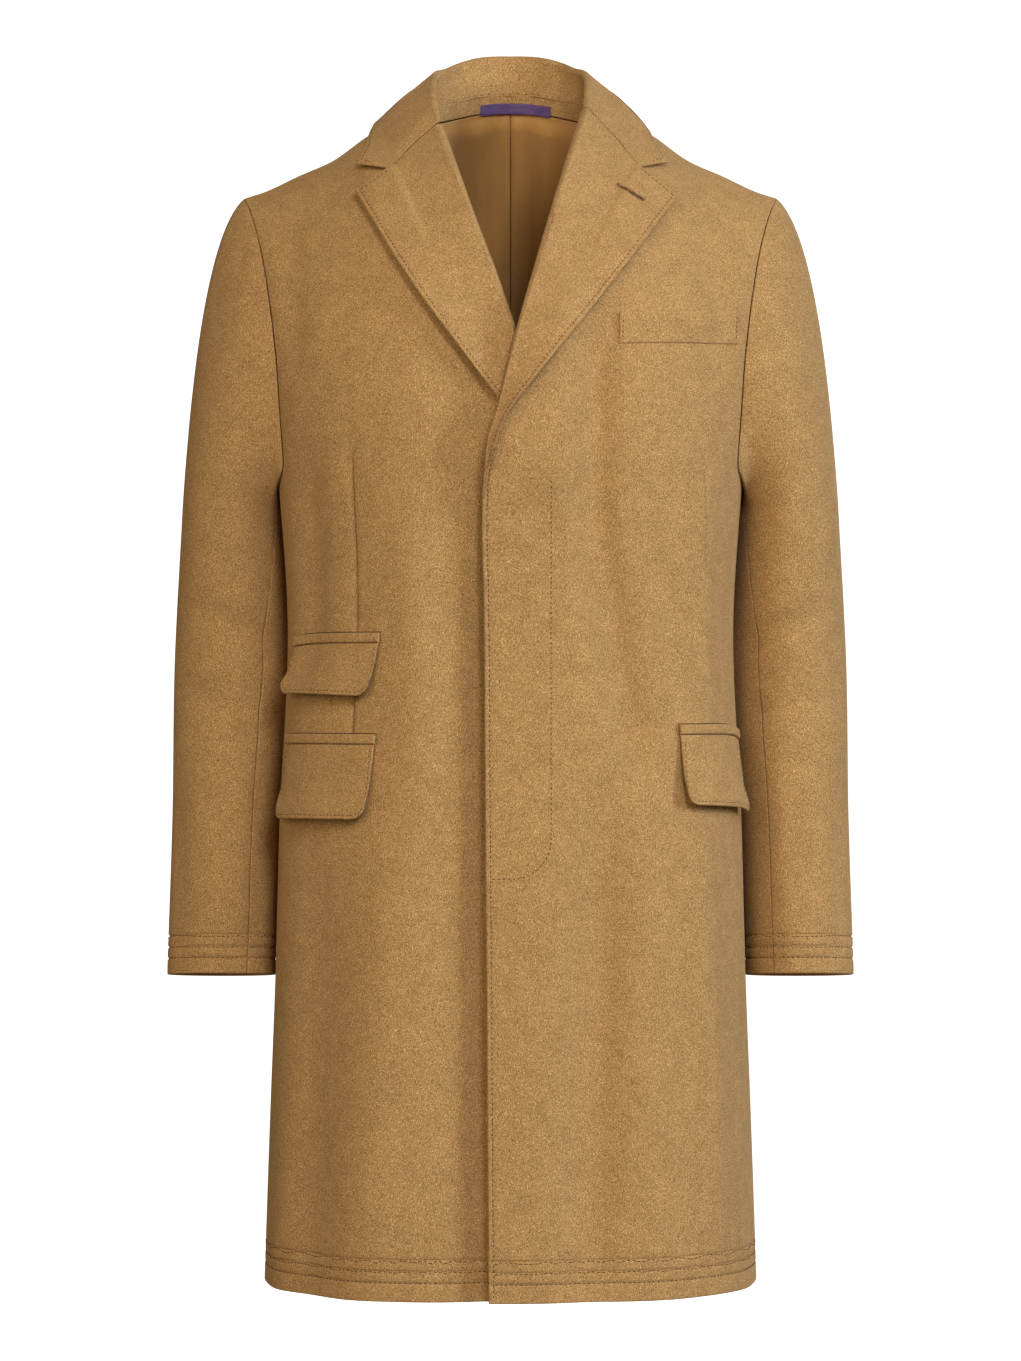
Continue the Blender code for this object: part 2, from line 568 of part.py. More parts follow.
def bend_to_gorge(grid, side_name):
    """Bend the collar's front end down to the gorge seam and the notch, on the front's surface."""
    start = grid[-1, FOLD_END]
    line = corner_line(FALL_COLUMNS, start[[0, 2]], COLLAR_NOTCH[side_name], COLLAR_TIP[side_name])
    phi, level = body_place(line[:, 0], line[:, 1])
    end = body_surface(phi, level) + body_normal(phi, level) * (LIE + ROLL_LIFT + COLLAR_WALL)
    end[0] = start
    grid[:, FOLD_END:] += (end - grid[-1, FOLD_END:]) * ramp(COLLAR_RIDGE, 1.0, COLLAR_ROWS)[:, None, None]
    return grid


def make_collar():
    """Collar: stand, fold and fall in one wall round the neck, from gorge to gorge."""
    left = collar_half("left")
    right = mirrored(collar_half("right"), -1)
    face = np.concatenate([right[:0:-1], left])
    along = np.gradient(face, axis=0)
    across = np.gradient(face, axis=1)
    normal = unit(np.cross(along, across))
    face = retreat(face, SEAM / 2, ("first_row", "last_row"))
    wall("collar", face, face - normal * COLLAR_WALL, CAMEL)


def make_welt():
    """Breast pocket welt on the left front."""
    x = np.linspace(*WELT_CHEST["x"], WELT_COLUMNS)
    top = np.linspace(*WELT_CHEST["top"], WELT_COLUMNS)
    foot = np.linspace(*WELT_CHEST["bottom"], WELT_COLUMNS)
    share = np.linspace(0.0, 1.0, WELT_ROWS)[:, None]
    phi, level = body_place(x, foot + (top - foot) * share)
    face, normal = side_front(phi, level, 1, LIE + TURNED)
    wall("welt_chest", face, face - normal * TURNED, CAMEL)


def make_flap(name, shape):
    """Pocket flap with rounded lower corners, and the jetting above it, on the front's own points."""
    side = shape["side"]
    start, _ = body_place(shape["x"], shape["z"])
    mouth = shape["z"] - CHEST_Z
    corner = shape["corner"]
    phi = start + (shape["end"] - start) * FLAP_COLUMNS
    width = np.linalg.norm(np.diff(body_surface(phi, np.full_like(phi, mouth)), axis=0), axis=1)
    run = np.concatenate([[0.0], np.cumsum(width)])
    near = np.minimum(np.minimum(run, run[-1] - run), corner)
    lift_off = corner - np.sqrt(np.maximum(corner ** 2 - (corner - near) ** 2, 0.0))
    drop = shape["drop"] - shape["slant"] * (run / run[-1] - 0.5) - lift_off
    down = np.linspace(1.0, 0.0, FLAP_ROWS)[:, None]
    level = mouth - drop * down
    lean = shape["slant"] * down
    face, normal = side_front(phi + lean, level, side, LIE + TURNED)
    wall("flap_" + name, mirrored(face, side), mirrored(face - normal * TURNED, side), CAMEL)

    phi = np.linspace(start - JET_OVERHANG, shape["end"] + JET_OVERHANG, JET_COLUMNS)
    level = mouth + SEAM + np.linspace(0.0, JET_HEIGHT, JET_ROWS)
    phi, level = np.meshgrid(phi, level)
    face, normal = side_front(phi, level, side, LIE + WOOL)
    wall("jet_" + name, mirrored(face, side), mirrored(face - normal * WOOL, side), CAMEL)


def inside_back(rows, columns, depth):
    """Points inside the back, on its own rows and columns, at a depth under its outer face."""
    phi, level = back_grid(outer_phi(BODY_ROWS, True), BODY_ROWS)
    phi, level = phi[rows, columns], level[rows, columns]
    normal = body_normal(phi, level)
    normal[:, 0, 0] = 0.0
    normal = unit(normal)
    return body_surface(phi, level) - normal * depth, normal


def make_neck_facing():
    """Strip of the coat's wool inside the back neck, under the stand, across both halves."""
    half, normal = inside_back(slice(FACING_ROW, None), slice(0, NECK_COLUMN), WOOL + LIE)
    outer = np.concatenate([mirrored(half[:, :0:-1], -1), half], 1)
    normal = np.concatenate([mirrored(normal[:, :0:-1], -1), normal], 1)
    outer = retreat(outer, 2 * SEAM, ("last_row",))
    wall("neck_facing", outer, outer - normal * LINING_WALL, CAMEL)


def make_lining(name, side):
    """Half of the back lining, from the facing down, as far as it shows in the neck opening."""
    outer, normal = inside_back(slice(LINING_ROW, FACING_ROW + 1), slice(0, LINING_COLUMNS), WOOL + LIE)
    outer = retreat(outer, SEAM / 2, ("first_column",))
    outer = retreat(outer, SEAM, ("last_row",))
    wall(name, mirrored(outer, side), mirrored(outer - normal * LINING_WALL, side), SATIN_BROWN, SATIN_ROUGH)


def make_label():
    """Small plain woven label on the neck facing."""
    x = np.linspace(-LABEL_HALF, LABEL_HALF, LABEL_COLUMNS)
    z = np.linspace(LABEL_FOOT, LABEL_TOP, LABEL_ROWS)[:, None]
    phi, level = body_place(x, z, True)
    normal = body_normal(phi, level)
    outer = body_surface(phi, level) - normal * (WOOL + LIE + LINING_WALL + LABEL_GAP)
    wall("label", outer, outer - normal * LABEL_WALL, LABEL_PURPLE, LABEL_ROUGH)


for stray in list(bpy.data.objects):
    bpy.data.objects.remove(stray, do_unlink=True)
coat = bpy.data.collections.new("topcoat")
bpy.context.scene.collection.children.link(coat)

for label, side in (("right", -1), ("left", 1)):
    make_front("front_" + label, side)
    make_back(label, side)
    make_sleeve(side, label)
    make_lining("lining_" + label, side)
make_lapel("lapel_right", -1, LAPEL_RIGHT)
make_lapel("lapel_left", 1, LAPEL_LEFT)
make_collar()
make_welt()
for pocket, shape in POCKETS.items():
    make_flap(pocket, shape)
make_neck_facing()
make_label()
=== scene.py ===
import math

import bpy
import numpy as np
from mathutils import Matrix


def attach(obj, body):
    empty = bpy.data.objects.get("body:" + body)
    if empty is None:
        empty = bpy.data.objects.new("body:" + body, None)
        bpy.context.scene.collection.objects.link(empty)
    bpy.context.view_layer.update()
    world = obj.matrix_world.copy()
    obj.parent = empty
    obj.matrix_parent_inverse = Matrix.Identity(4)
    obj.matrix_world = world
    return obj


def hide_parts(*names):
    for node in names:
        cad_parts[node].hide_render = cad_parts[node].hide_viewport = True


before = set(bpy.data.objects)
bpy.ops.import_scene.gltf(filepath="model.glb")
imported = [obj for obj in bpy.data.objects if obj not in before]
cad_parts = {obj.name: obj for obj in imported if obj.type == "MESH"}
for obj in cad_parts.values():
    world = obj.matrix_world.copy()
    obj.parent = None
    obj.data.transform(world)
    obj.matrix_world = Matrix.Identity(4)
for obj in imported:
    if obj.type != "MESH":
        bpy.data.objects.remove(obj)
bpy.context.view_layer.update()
print("frame loaded:", len(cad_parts), "solids")

halfTurn = math.pi
quarterTurn = math.pi / 2
scatter = np.random.default_rng(11)      # uneven hand stitches

# Cloth thicknesses, how the layers lie, and the least side that a cut is stated with, in metres
cloth = dict(wool=0.0023, turned=0.0028, collar=0.0026, lining=0.0012, label=0.0008,
             seam=0.0003, slit=0.0007, lie=0.0010, rollLift=0.0005, leastSide=0.0101)

# The body: levels, how its sections are rounded, and tables of sizes from the hem up
body = dict(
    chestZ=-0.300, hemZ=-1.006, armpitDrop=0.022, squareness=2.35, sideSeam=1.62,
    shoulderHalf=0.247, widen=1.2, frontRise=2.2, frontRound=1.4, backRise=3.0, backRound=1.8,
    seamTop=quarterTurn - 0.0015, tipX=0.2325, neckPointX=0.076, girth=0.19,
    overLength=0.27, armpitRows=9, ridgeStart=0.09,
    ridgeRows=(0.070, 0.055, 0.042, 0.031, 0.022, 0.014, 0.008, 0.004, 0.0015),
    sections=dict(
        z=(-1.006, -0.860, -0.740, -0.610, -0.435, -0.300),
        half=(0.2135, 0.2085, 0.2040, 0.2005, 0.1935, 0.2025),
        front=(0.171, 0.164, 0.158, 0.153, 0.147, 0.155),
        back=(0.172, 0.165, 0.157, 0.148, 0.128, 0.145)),
    skirtFolds=dict(
        angle=(0.62, 1.12, 2.05, 2.62, -0.55, -1.05, -2.05, -2.62),
        width=(0.17, 0.15, 0.20, 0.18, 0.16, 0.15, 0.20, 0.18),
        depth=(0.0040, 0.0035, 0.0060, 0.0050, 0.0035, 0.0040, 0.0060, 0.0050),
        top=(-0.66, -0.72, -0.55, -0.60, -0.70, -0.66, -0.55, -0.60)),
    shoulder=dict(
        x=(-0.035, 0.000, 0.035, 0.070, 0.100, 0.127, 0.153, 0.184, 0.214, 0.2325, 0.260),
        z=(0.052, 0.072, 0.052, 0.018, 0.0005, -0.0162, -0.0350, -0.049, -0.063, -0.069, -0.080)),
    armholeFront=dict(
        z=(-0.300, -0.288, -0.213, -0.176, -0.138),
        x=(0.1950, 0.1957, 0.2008, 0.2051, 0.2111)),
    armholeBack=dict(
        z=(-0.300, -0.280, -0.230, -0.180, -0.130),
        x=(0.1950, 0.1970, 0.2020, 0.2070, 0.2140)),
    backNeck=dict(
        x=(-0.030, 0.0, 0.030, 0.055, 0.070, 0.076),
        z=(0.0285, 0.033, 0.0285, 0.0165, 0.0145, 0.0141)),
)


def softCurve(xs, ys, at):
    # cubic curve through a short table, slopes from neighbouring points, held level past its ends
    xs, ys = np.asarray(xs, float), np.asarray(ys, float)
    slopes = np.gradient(ys, xs)
    at = np.clip(at, xs[0], xs[-1])
    k = np.clip(np.searchsorted(xs, at) - 1, 0, len(xs) - 2)
    width = xs[k + 1] - xs[k]
    t = (at - xs[k]) / width
    rise, start, end = ys[k + 1] - ys[k], slopes[k] * width, slopes[k + 1] * width
    return ys[k] + t * (start + t * (3 * rise - 2 * start - end + t * (start + end - 2 * rise)))


def ramp(start, end, at):
    # soft step from 0 at start to 1 at end
    t = np.clip((at - start) / (end - start), 0.0, 1.0)
    return t * t * (3 - 2 * t)


def unit(v):
    # each vector divided by its own length
    return v / np.maximum(np.linalg.norm(v, axis=-1, keepdims=True), 1e-12)


def mirrored(grid, side):
    # a grid worked out on the wearer's left, carried to the given side
    return grid * np.array([side, 1.0, 1.0])


def shoulderZ(x):
    # height of the ridge from the neck over the shoulder, by the distance from the centre
    return softCurve(body["shoulder"]["x"], body["shoulder"]["z"], np.abs(x))


def section(key, z):
    # half width or depth of the body at a height
    return softCurve(body["sections"]["z"], body["sections"][key], z)


def skirtFold(phi, z):
    # sum of soft ridges round the skirt, each deepening towards the hem
    total = np.zeros(np.broadcast(phi, z).shape)
    for angle, width, depth, top in zip(*body["skirtFolds"].values()):
        total += depth * np.exp(-((phi - angle) / width) ** 2) * ramp(top, body["hemZ"], z)
    return total


def bodySurface(phi, level):
    # rounded sections: x and y are powers of sine and cosine of the angle from the centre front;
    # below the chest the level is metres under it, above it an angle over the shoulder line
    s, c = np.sin(phi), np.cos(phi)
    over = np.clip(level, 0.0, quarterTurn)
    zLow = body["chestZ"] + np.minimum(level, 0.0)
    behind = c < 0
    climb = np.sin(over) ** (2 / np.where(behind, body["backRise"], body["frontRise"]))
    fold = skirtFold(phi, zLow)
    half = section("half", zLow) + fold
    half = half + (body["shoulderHalf"] - half) * climb ** body["widen"]
    x = half * np.sign(s) * np.abs(s) ** (2 / body["squareness"])
    z = zLow + (shoulderZ(x) - body["chestZ"]) * climb
    deep = np.where(behind, section("back", zLow), section("front", zLow)) + fold
    roundness = np.where(behind, body["backRound"], body["frontRound"])
    y = deep * np.abs(c) ** (2 / body["squareness"]) * np.cos(over) ** (2 / roundness)
    return np.stack([x, np.where(behind, y, -y), z], -1)


def bodyNormal(phi, level, step=0.002, shy=0.03):
    # outward normal from the slopes both ways, taken just short of the ridge
    level = np.minimum(level, quarterTurn - shy)
    across = bodySurface(phi + step, level) - bodySurface(phi - step, level)
    along = bodySurface(phi, level + step) - bodySurface(phi, level - step)
    return unit(np.cross(across, along))


def bodyPlace(x, z, behind=False):
    # angle and level of the body's surface at a given x and z
    x, z = np.broadcast_arrays(np.asarray(x, float), np.asarray(z, float))
    climb = np.clip((z - body["chestZ"]) / (shoulderZ(x) - body["chestZ"]), 0.0, 1.0)
    rise = body["backRise"] if behind else body["frontRise"]
    over = np.arcsin(np.clip(climb ** (rise / 2), 0.0, 1.0))
    half = section("half", np.minimum(z, body["chestZ"]))
    half = half + (body["shoulderHalf"] - half) * climb ** body["widen"]
    phi = np.arcsin(np.clip(np.abs(x) / half, 0.0, 1.0) ** (body["squareness"] / 2))
    phi = np.where(x < 0, -1.0, 1.0) * (halfTurn - phi if behind else phi)
    return phi, np.where(z < body["chestZ"], z - body["chestZ"], np.minimum(over, body["seamTop"]))


def seamAngle(level, behind):
    # angle of the side seam and, above it, of the armhole, rounded under the arm
    table = body["armholeBack" if behind else "armholeFront"]
    phi, place = bodyPlace(table["x"], table["z"], behind)
    tip, _ = bodyPlace(body["tipX"], shoulderZ(body["tipX"]), behind)
    seam = softCurve(np.append(place, quarterTurn), np.append(phi, tip), np.maximum(level, 0.0))
    under = np.clip(-level / body["armpitDrop"], 0.0, 1.0)
    return body["sideSeam"] + (seam - body["sideSeam"]) * np.sqrt(1.0 - under ** 2)


# Shares of a crease's length over which it comes up at its start and dies away at its end
creaseEnds = dict(start=(-0.15, 0.30), end=(1.15, 0.70))


def softCreases(u, z, creases):
    # sum of soft troughs and ridges, each along a line on the cloth, rounded across and fading at its ends
    total = np.zeros(np.broadcast(u, z).shape)
    for (u0, z0), (u1, z1), width, depth in creases:
        du, dz = u1 - u0, z1 - z0
        along = ((u - u0) * du + (z - z0) * dz) / (du * du + dz * dz)
        t = np.clip(along, 0.0, 1.0)
        away = np.hypot(u - u0 - t * du, z - z0 - t * dz)
        fade = ramp(*creaseEnds["start"], along) * ramp(*creaseEnds["end"], along)
        total += depth * np.exp(-(away / width) ** 2) * fade
    return total


print("body form ready")


# Finishes: colours, sizes of the pattern as noise scales, and how strongly it is raised
woolLook = dict(
    dark=(0.120, 0.060, 0.018, 1), base=(0.368, 0.214, 0.083, 1), light=(0.830, 0.577, 0.300, 1),
    shadeLow=(0.94, 0.93, 0.92, 1), shadeHigh=(1.05, 1.05, 1.04, 1), grain=1450.0, finer=1.3, mottle=60.0,
    grainDetail=(2.0, 0.60), mottleDetail=(3.0, 0.55), slant=48, cross=-32, stretch=(1.0, 1.0, 0.50),
    darkRange=(0.26, 0.56), lightRange=(0.45, 0.77),
    shadeRange=(0.30, 0.70), nap=(0.55, 0.0005), hairNap=(0.45, 0.0004), rough=0.92, specular=0.12,
    sheen=0.16, sheenRough=0.42, sheenTint=(1.0, 0.88, 0.68, 1))
satinLook = dict(
    dark=(0.440, 0.236, 0.074, 1), base=(0.510, 0.280, 0.092, 1), shadeLow=(0.90, 0.90, 0.90, 1),
    shadeHigh=(1.08, 1.08, 1.08, 1), threads=1800.0, threadStretch=(1.0, 1.0, 0.06),
    threadRange=(0.30, 0.62), clouds=22.0, cloudStretch=(1.0, 1.0, 0.5), cloudRange=(0.3, 0.7),
    detail=2.0, raised=(0.15, 0.0002), rough=0.42, sheen=0.20)
ribbonLook = dict(
    dark=(0.070, 0.040, 0.165, 1), base=(0.120, 0.072, 0.260, 1), ribs=1600.0, ribStretch=(0.08, 0.08, 1.0),
    ribRange=(0.35, 0.6), detail=1.0, raised=(0.3, 0.0002), rough=0.55)
# sewing thread: a dark brown that is partly the thread's own colour and partly painted shade of the stitch
# dimples
threadShadeLook = dict(
    base=(0.105, 0.048, 0.015, 1), darker=0.6, twist=900.0, turn=0.6, twistRange=(0.35, 0.65),
    detail=1.0, rough=0.85)


def newMaterial(name, rough):
    # a material with its node tree and shader
    material = bpy.data.materials.new(name)
    material.use_nodes = True
    shader = material.node_tree.nodes["Principled BSDF"]
    shader.inputs["Roughness"].default_value = rough
    return material, material.node_tree, shader


def addNode(tree, kind, **inputs):
    # a new node with some of its values set
    node = tree.nodes.new(kind)
    for key, value in inputs.items():
        node.inputs[key].default_value = value
    return node


def noiseNode(tree, vector, scale, detail, rough=0.5):
    # noise read at a place
    node = addNode(tree, "ShaderNodeTexNoise", Scale=scale, Detail=detail, Roughness=rough)
    tree.links.new(vector, node.inputs["Vector"])
    return node.outputs["Fac"]


def mixColour(tree, factor, first, second, mode="MIX"):
    # two colours mixed, each value either a number or another node's output
    node = tree.nodes.new("ShaderNodeMix")
    node.data_type = "RGBA"
    node.blend_type = mode
    for place, value in ((0, factor), (6, first), (7, second)):
        if hasattr(value, "is_linked"):
            tree.links.new(value, node.inputs[place])
        else:
            node.inputs[place].default_value = value
    return node.outputs[2]


def softShare(tree, value, span):
    # soft step from 0 to 1 as a value passes from one end of a span to the other
    node = tree.nodes.new("ShaderNodeMapRange")
    node.interpolation_type = "SMOOTHSTEP"
    tree.links.new(value, node.inputs["Value"])
    node.inputs["From Min"].default_value, node.inputs["From Max"].default_value = span
    return node.outputs["Result"]


def turnedPlace(tree, angle=0.0, stretch=(1.0, 1.0, 1.0)):
    # the cloth's own place turned about the y axis and drawn out, for fibres that lie aslant
    place = tree.nodes.new("ShaderNodeTexCoord")
    mapping = tree.nodes.new("ShaderNodeMapping")
    mapping.inputs["Rotation"].default_value = (0.0, angle, 0.0)
    mapping.inputs["Scale"].default_value = stretch
    tree.links.new(place.outputs["Object"], mapping.inputs["Vector"])
    return mapping.outputs["Vector"]


def bumpFrom(tree, shader, height, raised, below=None):
    # the pattern raised by a strength and a distance, over another one if there is one below
    node = addNode(tree, "ShaderNodeBump", Strength=raised[0], Distance=raised[1])
    tree.links.new(height, node.inputs["Height"])
    if below is not None:
        tree.links.new(below, node.inputs["Normal"])
    tree.links.new(node.outputs["Normal"], shader.inputs["Normal"])
    return node.outputs["Normal"]


def woolMaterial(name, look):
    # brushed melange wool: fine light and dark fibres lying two ways over a slow mottle, with a raised nap
    material, tree, shader = newMaterial(name, look["rough"])
    slant, cross = (turnedPlace(tree, math.radians(look[key]), look["stretch"])
                    for key in ("slant", "cross"))
    fibres = noiseNode(tree, slant, look["grain"], *look["grainDetail"])
    hairs = noiseNode(tree, cross, look["grain"] * look["finer"], *look["grainDetail"])
    mottle = noiseNode(tree, turnedPlace(tree), look["mottle"], *look["mottleDetail"])
    colour = mixColour(tree, softShare(tree, fibres, look["darkRange"]), look["dark"], look["base"])
    colour = mixColour(tree, softShare(tree, hairs, look["lightRange"]), colour, look["light"])
    high = softShare(tree, mottle, look["shadeRange"])
    shade = mixColour(tree, high, look["shadeLow"], look["shadeHigh"])
    tree.links.new(mixColour(tree, 1.0, colour, shade, "MULTIPLY"), shader.inputs["Base Color"])
    nap = bumpFrom(tree, shader, fibres, look["nap"])
    bumpFrom(tree, shader, hairs, look["hairNap"], nap)
    shader.inputs["Sheen Weight"].default_value = look["sheen"]
    shader.inputs["Sheen Roughness"].default_value = look["sheenRough"]
    shader.inputs["Sheen Tint"].default_value = look["sheenTint"]
    shader.inputs["Specular IOR Level"].default_value = look["specular"]
    return material


def satinMaterial(name, look):
    # smooth lining: fine upright threads under slow clouds, a soft gloss
    material, tree, shader = newMaterial(name, look["rough"])
    along, broad = (turnedPlace(tree, stretch=look[key]) for key in ("threadStretch", "cloudStretch"))
    threads = noiseNode(tree, along, look["threads"], look["detail"])
    clouds = noiseNode(tree, broad, look["clouds"], look["detail"])
    colour = mixColour(tree, softShare(tree, threads, look["threadRange"]), look["dark"], look["base"])
    high = softShare(tree, clouds, look["cloudRange"])
    shade = mixColour(tree, high, look["shadeLow"], look["shadeHigh"])
    tree.links.new(mixColour(tree, 1.0, colour, shade, "MULTIPLY"), shader.inputs["Base Color"])
    bumpFrom(tree, shader, threads, look["raised"])
    shader.inputs["Sheen Weight"].default_value = look["sheen"]
    return material


def ribbonMaterial(name, look):
    # woven ribbon: fine level ribs
    material, tree, shader = newMaterial(name, look["rough"])
    ribs = noiseNode(tree, turnedPlace(tree, stretch=look["ribStretch"]), look["ribs"], look["detail"])
    colour = mixColour(tree, softShare(tree, ribs, look["ribRange"]), look["dark"], look["base"])
    tree.links.new(colour, shader.inputs["Base Color"])
    bumpFrom(tree, shader, ribs, look["raised"])
    return material


def threadShadeMaterial(name, look):
    # twisted sewing thread, a little uneven in tone; its dark brown, far below the cloth's, is partly the
    # thread's own colour and partly painted shade of the dimples the stitches sit in
    material, tree, shader = newMaterial(name, look["rough"])
    twist = noiseNode(tree, turnedPlace(tree, look["turn"]), look["twist"], look["detail"])
    darker = tuple(look["darker"] * v for v in look["base"][:3]) + (1,)
    colour = mixColour(tree, softShare(tree, twist, look["twistRange"]), darker, look["base"])
    tree.links.new(colour, shader.inputs["Base Color"])
    return material


wool = woolMaterial("camelWool", woolLook)
satin = satinMaterial("brownSatin", satinLook)
ribbon = ribbonMaterial("purpleRibbon", ribbonLook)
threadWithShade = threadShadeMaterial("darkThreadWithDimpleShade", threadShadeLook)
print("materials ready")


# Steps along a side of a piece: fine ones at its two ends and at chosen places, even ones between
steps = dict(ends=(0.0, 0.0002, 0.0006, 0.0011, 0.0018, 0.0027, 0.0035, 0.0042, 0.0049, 0.0058),
             spot=(-0.0021, -0.0013, -0.0006, 0.0, 0.0006, 0.0013, 0.0021), clear=0.45, least=0.00012)


def closeSteps(length, step, near=(), ends=steps["ends"]):
    # even steps without those that come too close to a fine one
    even = np.linspace(0.0, length, max(2, int(math.ceil(length / step)) + 1))
    borders = np.concatenate([ends, length - np.asarray(ends)])
    spots = (np.asarray(near, float)[:, None] + np.array(steps["spot"])).ravel()
    fine = np.concatenate([borders, spots[(spots > 0) & (spots < length)]])
    clear = np.min(np.abs(even[:, None] - fine[None, :]), axis=1) > steps["clear"] * step
    run = np.unique(np.concatenate([even[clear], fine]).round(6))
    return run[np.concatenate([[True], np.diff(run) > steps["least"]])]


def closeShares(length, step, near=()):
    # the same steps as shares of the length
    return closeSteps(length, step, near) / length


def runAlong(grid, axis):
    # running length of a grid of points along one of its directions
    step = np.linalg.norm(np.diff(grid, axis=axis), axis=-1)
    start = np.zeros_like(np.take(step, [0], axis))
    return np.concatenate([start, np.cumsum(step, axis)], axis)


def flatCut(grid):
    # width, length and area of the cloth laid flat: longest row, longest column, sum of its cells
    rows, columns = runAlong(grid, 0), runAlong(grid, 1)
    a, b = np.diff(grid, axis=0)[:, :-1], np.diff(grid, axis=1)[:-1]
    c, d = np.diff(grid, axis=0)[:, 1:], np.diff(grid, axis=1)[1:]
    cells = np.linalg.norm(np.cross(a, b), axis=-1) + np.linalg.norm(np.cross(c, d), axis=-1)
    return float(columns[:, -1].max()), float(rows[-1].max()), float(cells.sum() / 2)


def fromEdge(face, edge):
    # for each point of a grid: how far it lies from one border, and how far along that border it is
    down, across = runAlong(face, 0), runAlong(face, 1)
    if edge == "left":
        return across, down[:, :1]
    if edge == "right":
        return across[:, -1:] - across, down[:, -1:]
    if edge == "foot":
        return down, across[:1]
    return down[-1:] - down, across[-1:]


# Sewing: spacing along an edge, size of a stitch, groove under it, and how far a row keeps from the corners
sewing = dict(spacing=0.0042, length=0.0024, breadth=0.0009, height=0.0005, uneven=0.12, clear=0.006,
              grooveWidth=0.0010, grooveMean=0.65, grooveSwell=0.35, lookAhead=0.001,
              ringAt=(-1.0, -0.6, 0.6, 1.0), ringGirth=(0.15, 0.9, 0.9, 0.15))


def sewnRow(edge, inset, groove, start=sewing["clear"], stop=sewing["clear"],
            spacing=sewing["spacing"], length=sewing["length"]):
    # a row of stitches along one border: how far inside it, its groove's depth,
    # and how far it keeps from the two corners
    return dict(edge=edge, inset=inset, groove=groove, start=start, stop=stop,
                spacing=spacing, length=length)


def sewnGroove(face, rows):
    # sum of grooves, each rounded across its row and deeper at every stitch
    relief = np.zeros(face.shape[:2])
    for row in rows:
        away, along = fromEdge(face, row["edge"])
        beat = np.cos(2 * halfTurn * along / row["spacing"])
        dimple = sewing["grooveMean"] - sewing["grooveSwell"] * beat
        relief -= row["groove"] * dimple * np.exp(-((away - row["inset"]) / sewing["grooveWidth"]) ** 2)
    return relief


def stitchLine(face, normal, row):
    # places of stitches that run along a border at a distance inside it, one in every dimple of the groove
    away, along = fromEdge(face, row["edge"])
    if row["edge"] in ("left", "right"):
        grid, lie, along = face, normal, along[:, 0]
    else:
        grid, lie, away, along = face.swapaxes(0, 1), normal.swapaxes(0, 1), away.T, along[0]
    if row["edge"] in ("right", "top"):
        grid, lie, away = grid[:, ::-1], lie[:, ::-1], away[:, ::-1]
    k = np.clip((away < row["inset"]).sum(1) - 1, 0, grid.shape[1] - 2)
    r = np.arange(len(grid))
    gap = np.maximum(away[r, k + 1] - away[r, k], 1e-9)
    t = np.clip((row["inset"] - away[r, k]) / gap, 0.0, 1.0)[:, None]
    line = grid[r, k] * (1 - t) + grid[r, k + 1] * t
    keep = away[:, -1] > 2 * row["inset"]
    return stitchPlaces(line[keep], lie[r, k][keep], along[keep], row["start"], row["stop"],
                        row["spacing"], row["length"])


def stitchPlaces(line, up, along, start=0.0, stop=0.0, spacing=sewing["spacing"], length=sewing["length"]):
    # places along a line, even but for a little scatter, with the directions along it and out of the cloth
    first = math.ceil((along[0] + start) / spacing - 0.5) + 0.5
    at = np.arange(first * spacing, along[-1] - stop, spacing)
    at = at + scatter.normal(0.0, sewing["uneven"] * spacing / 3, len(at))

    def readAt(table, shift=0.0):
        # a table of vectors read at each place along the line, moved on by a shift
        return np.stack([np.interp(at + shift, along, table[:, k]) for k in range(3)], -1)

    ahead = unit(readAt(line, sewing["lookAhead"]) - readAt(line, -sewing["lookAhead"]))
    return readAt(line), ahead, unit(readAt(up)), np.full(len(at), length)


def addStitchAndShadeBits(name, piece, lines):
    # each stitch, and each bit of painted shade, is a small round bit: four rings of six points, drawn out
    # along the thread
    place, ahead, out, length = (np.concatenate(part) for part in zip(*lines))
    side = unit(np.cross(out, ahead))
    rise, girth = np.array(sewing["ringAt"])[:, None], np.array(sewing["ringGirth"])[:, None]
    turn = np.arange(6) * halfTurn / 3
    local = np.stack(np.broadcast_arrays(rise / 2, girth * np.cos(turn) / 2, girth * np.sin(turn) / 2), -1)
    local = local.reshape(-1, 3)
    points = (place[:, None] + ahead[:, None] * (local[:, 0] * length[:, None])[..., None]
              + side[:, None] * (local[:, 1] * sewing["breadth"])[..., None]
              + out[:, None] * (local[:, 2] * 2 * sewing["height"])[..., None])
    index = np.arange(24).reshape(4, 6)
    around = np.roll(index, -1, 1)
    sides = np.stack([index[:-1], around[:-1], around[1:], index[1:]], -1).reshape(-1, 4)
    caps = np.array([[0, 3, 2, 1], [0, 5, 4, 3], [18, 19, 20, 21], [18, 21, 22, 23]])
    bit = np.concatenate([sides, caps])
    faces = (bit[None] + index.size * np.arange(len(place))[:, None, None]).reshape(-1, 4)
    shade_line = newObject(name, points.reshape(-1, 3), faces, [threadWithShade])
    shade_line.parent = piece


def gridCells(index):
    # four corners of every cell of a grid of point numbers
    return np.stack([index[:-1, :-1], index[:-1, 1:], index[1:, 1:], index[1:, :-1]], -1).reshape(-1, 4)


def newObject(name, points, faces, materials, picks=None):
    # a smooth mesh object at the origin, with the material that each face picks
    mesh = bpy.data.meshes.new(name)
    mesh.from_pydata(points.tolist(), [], faces.tolist())
    for material in materials:
        mesh.materials.append(material)
    if picks is not None:
        mesh.polygons.foreach_set("material_index", picks)
    mesh.shade_smooth()
    mesh.update()
    piece = bpy.data.objects.new(name, mesh)
    bpy.context.scene.collection.objects.link(piece)
    return piece


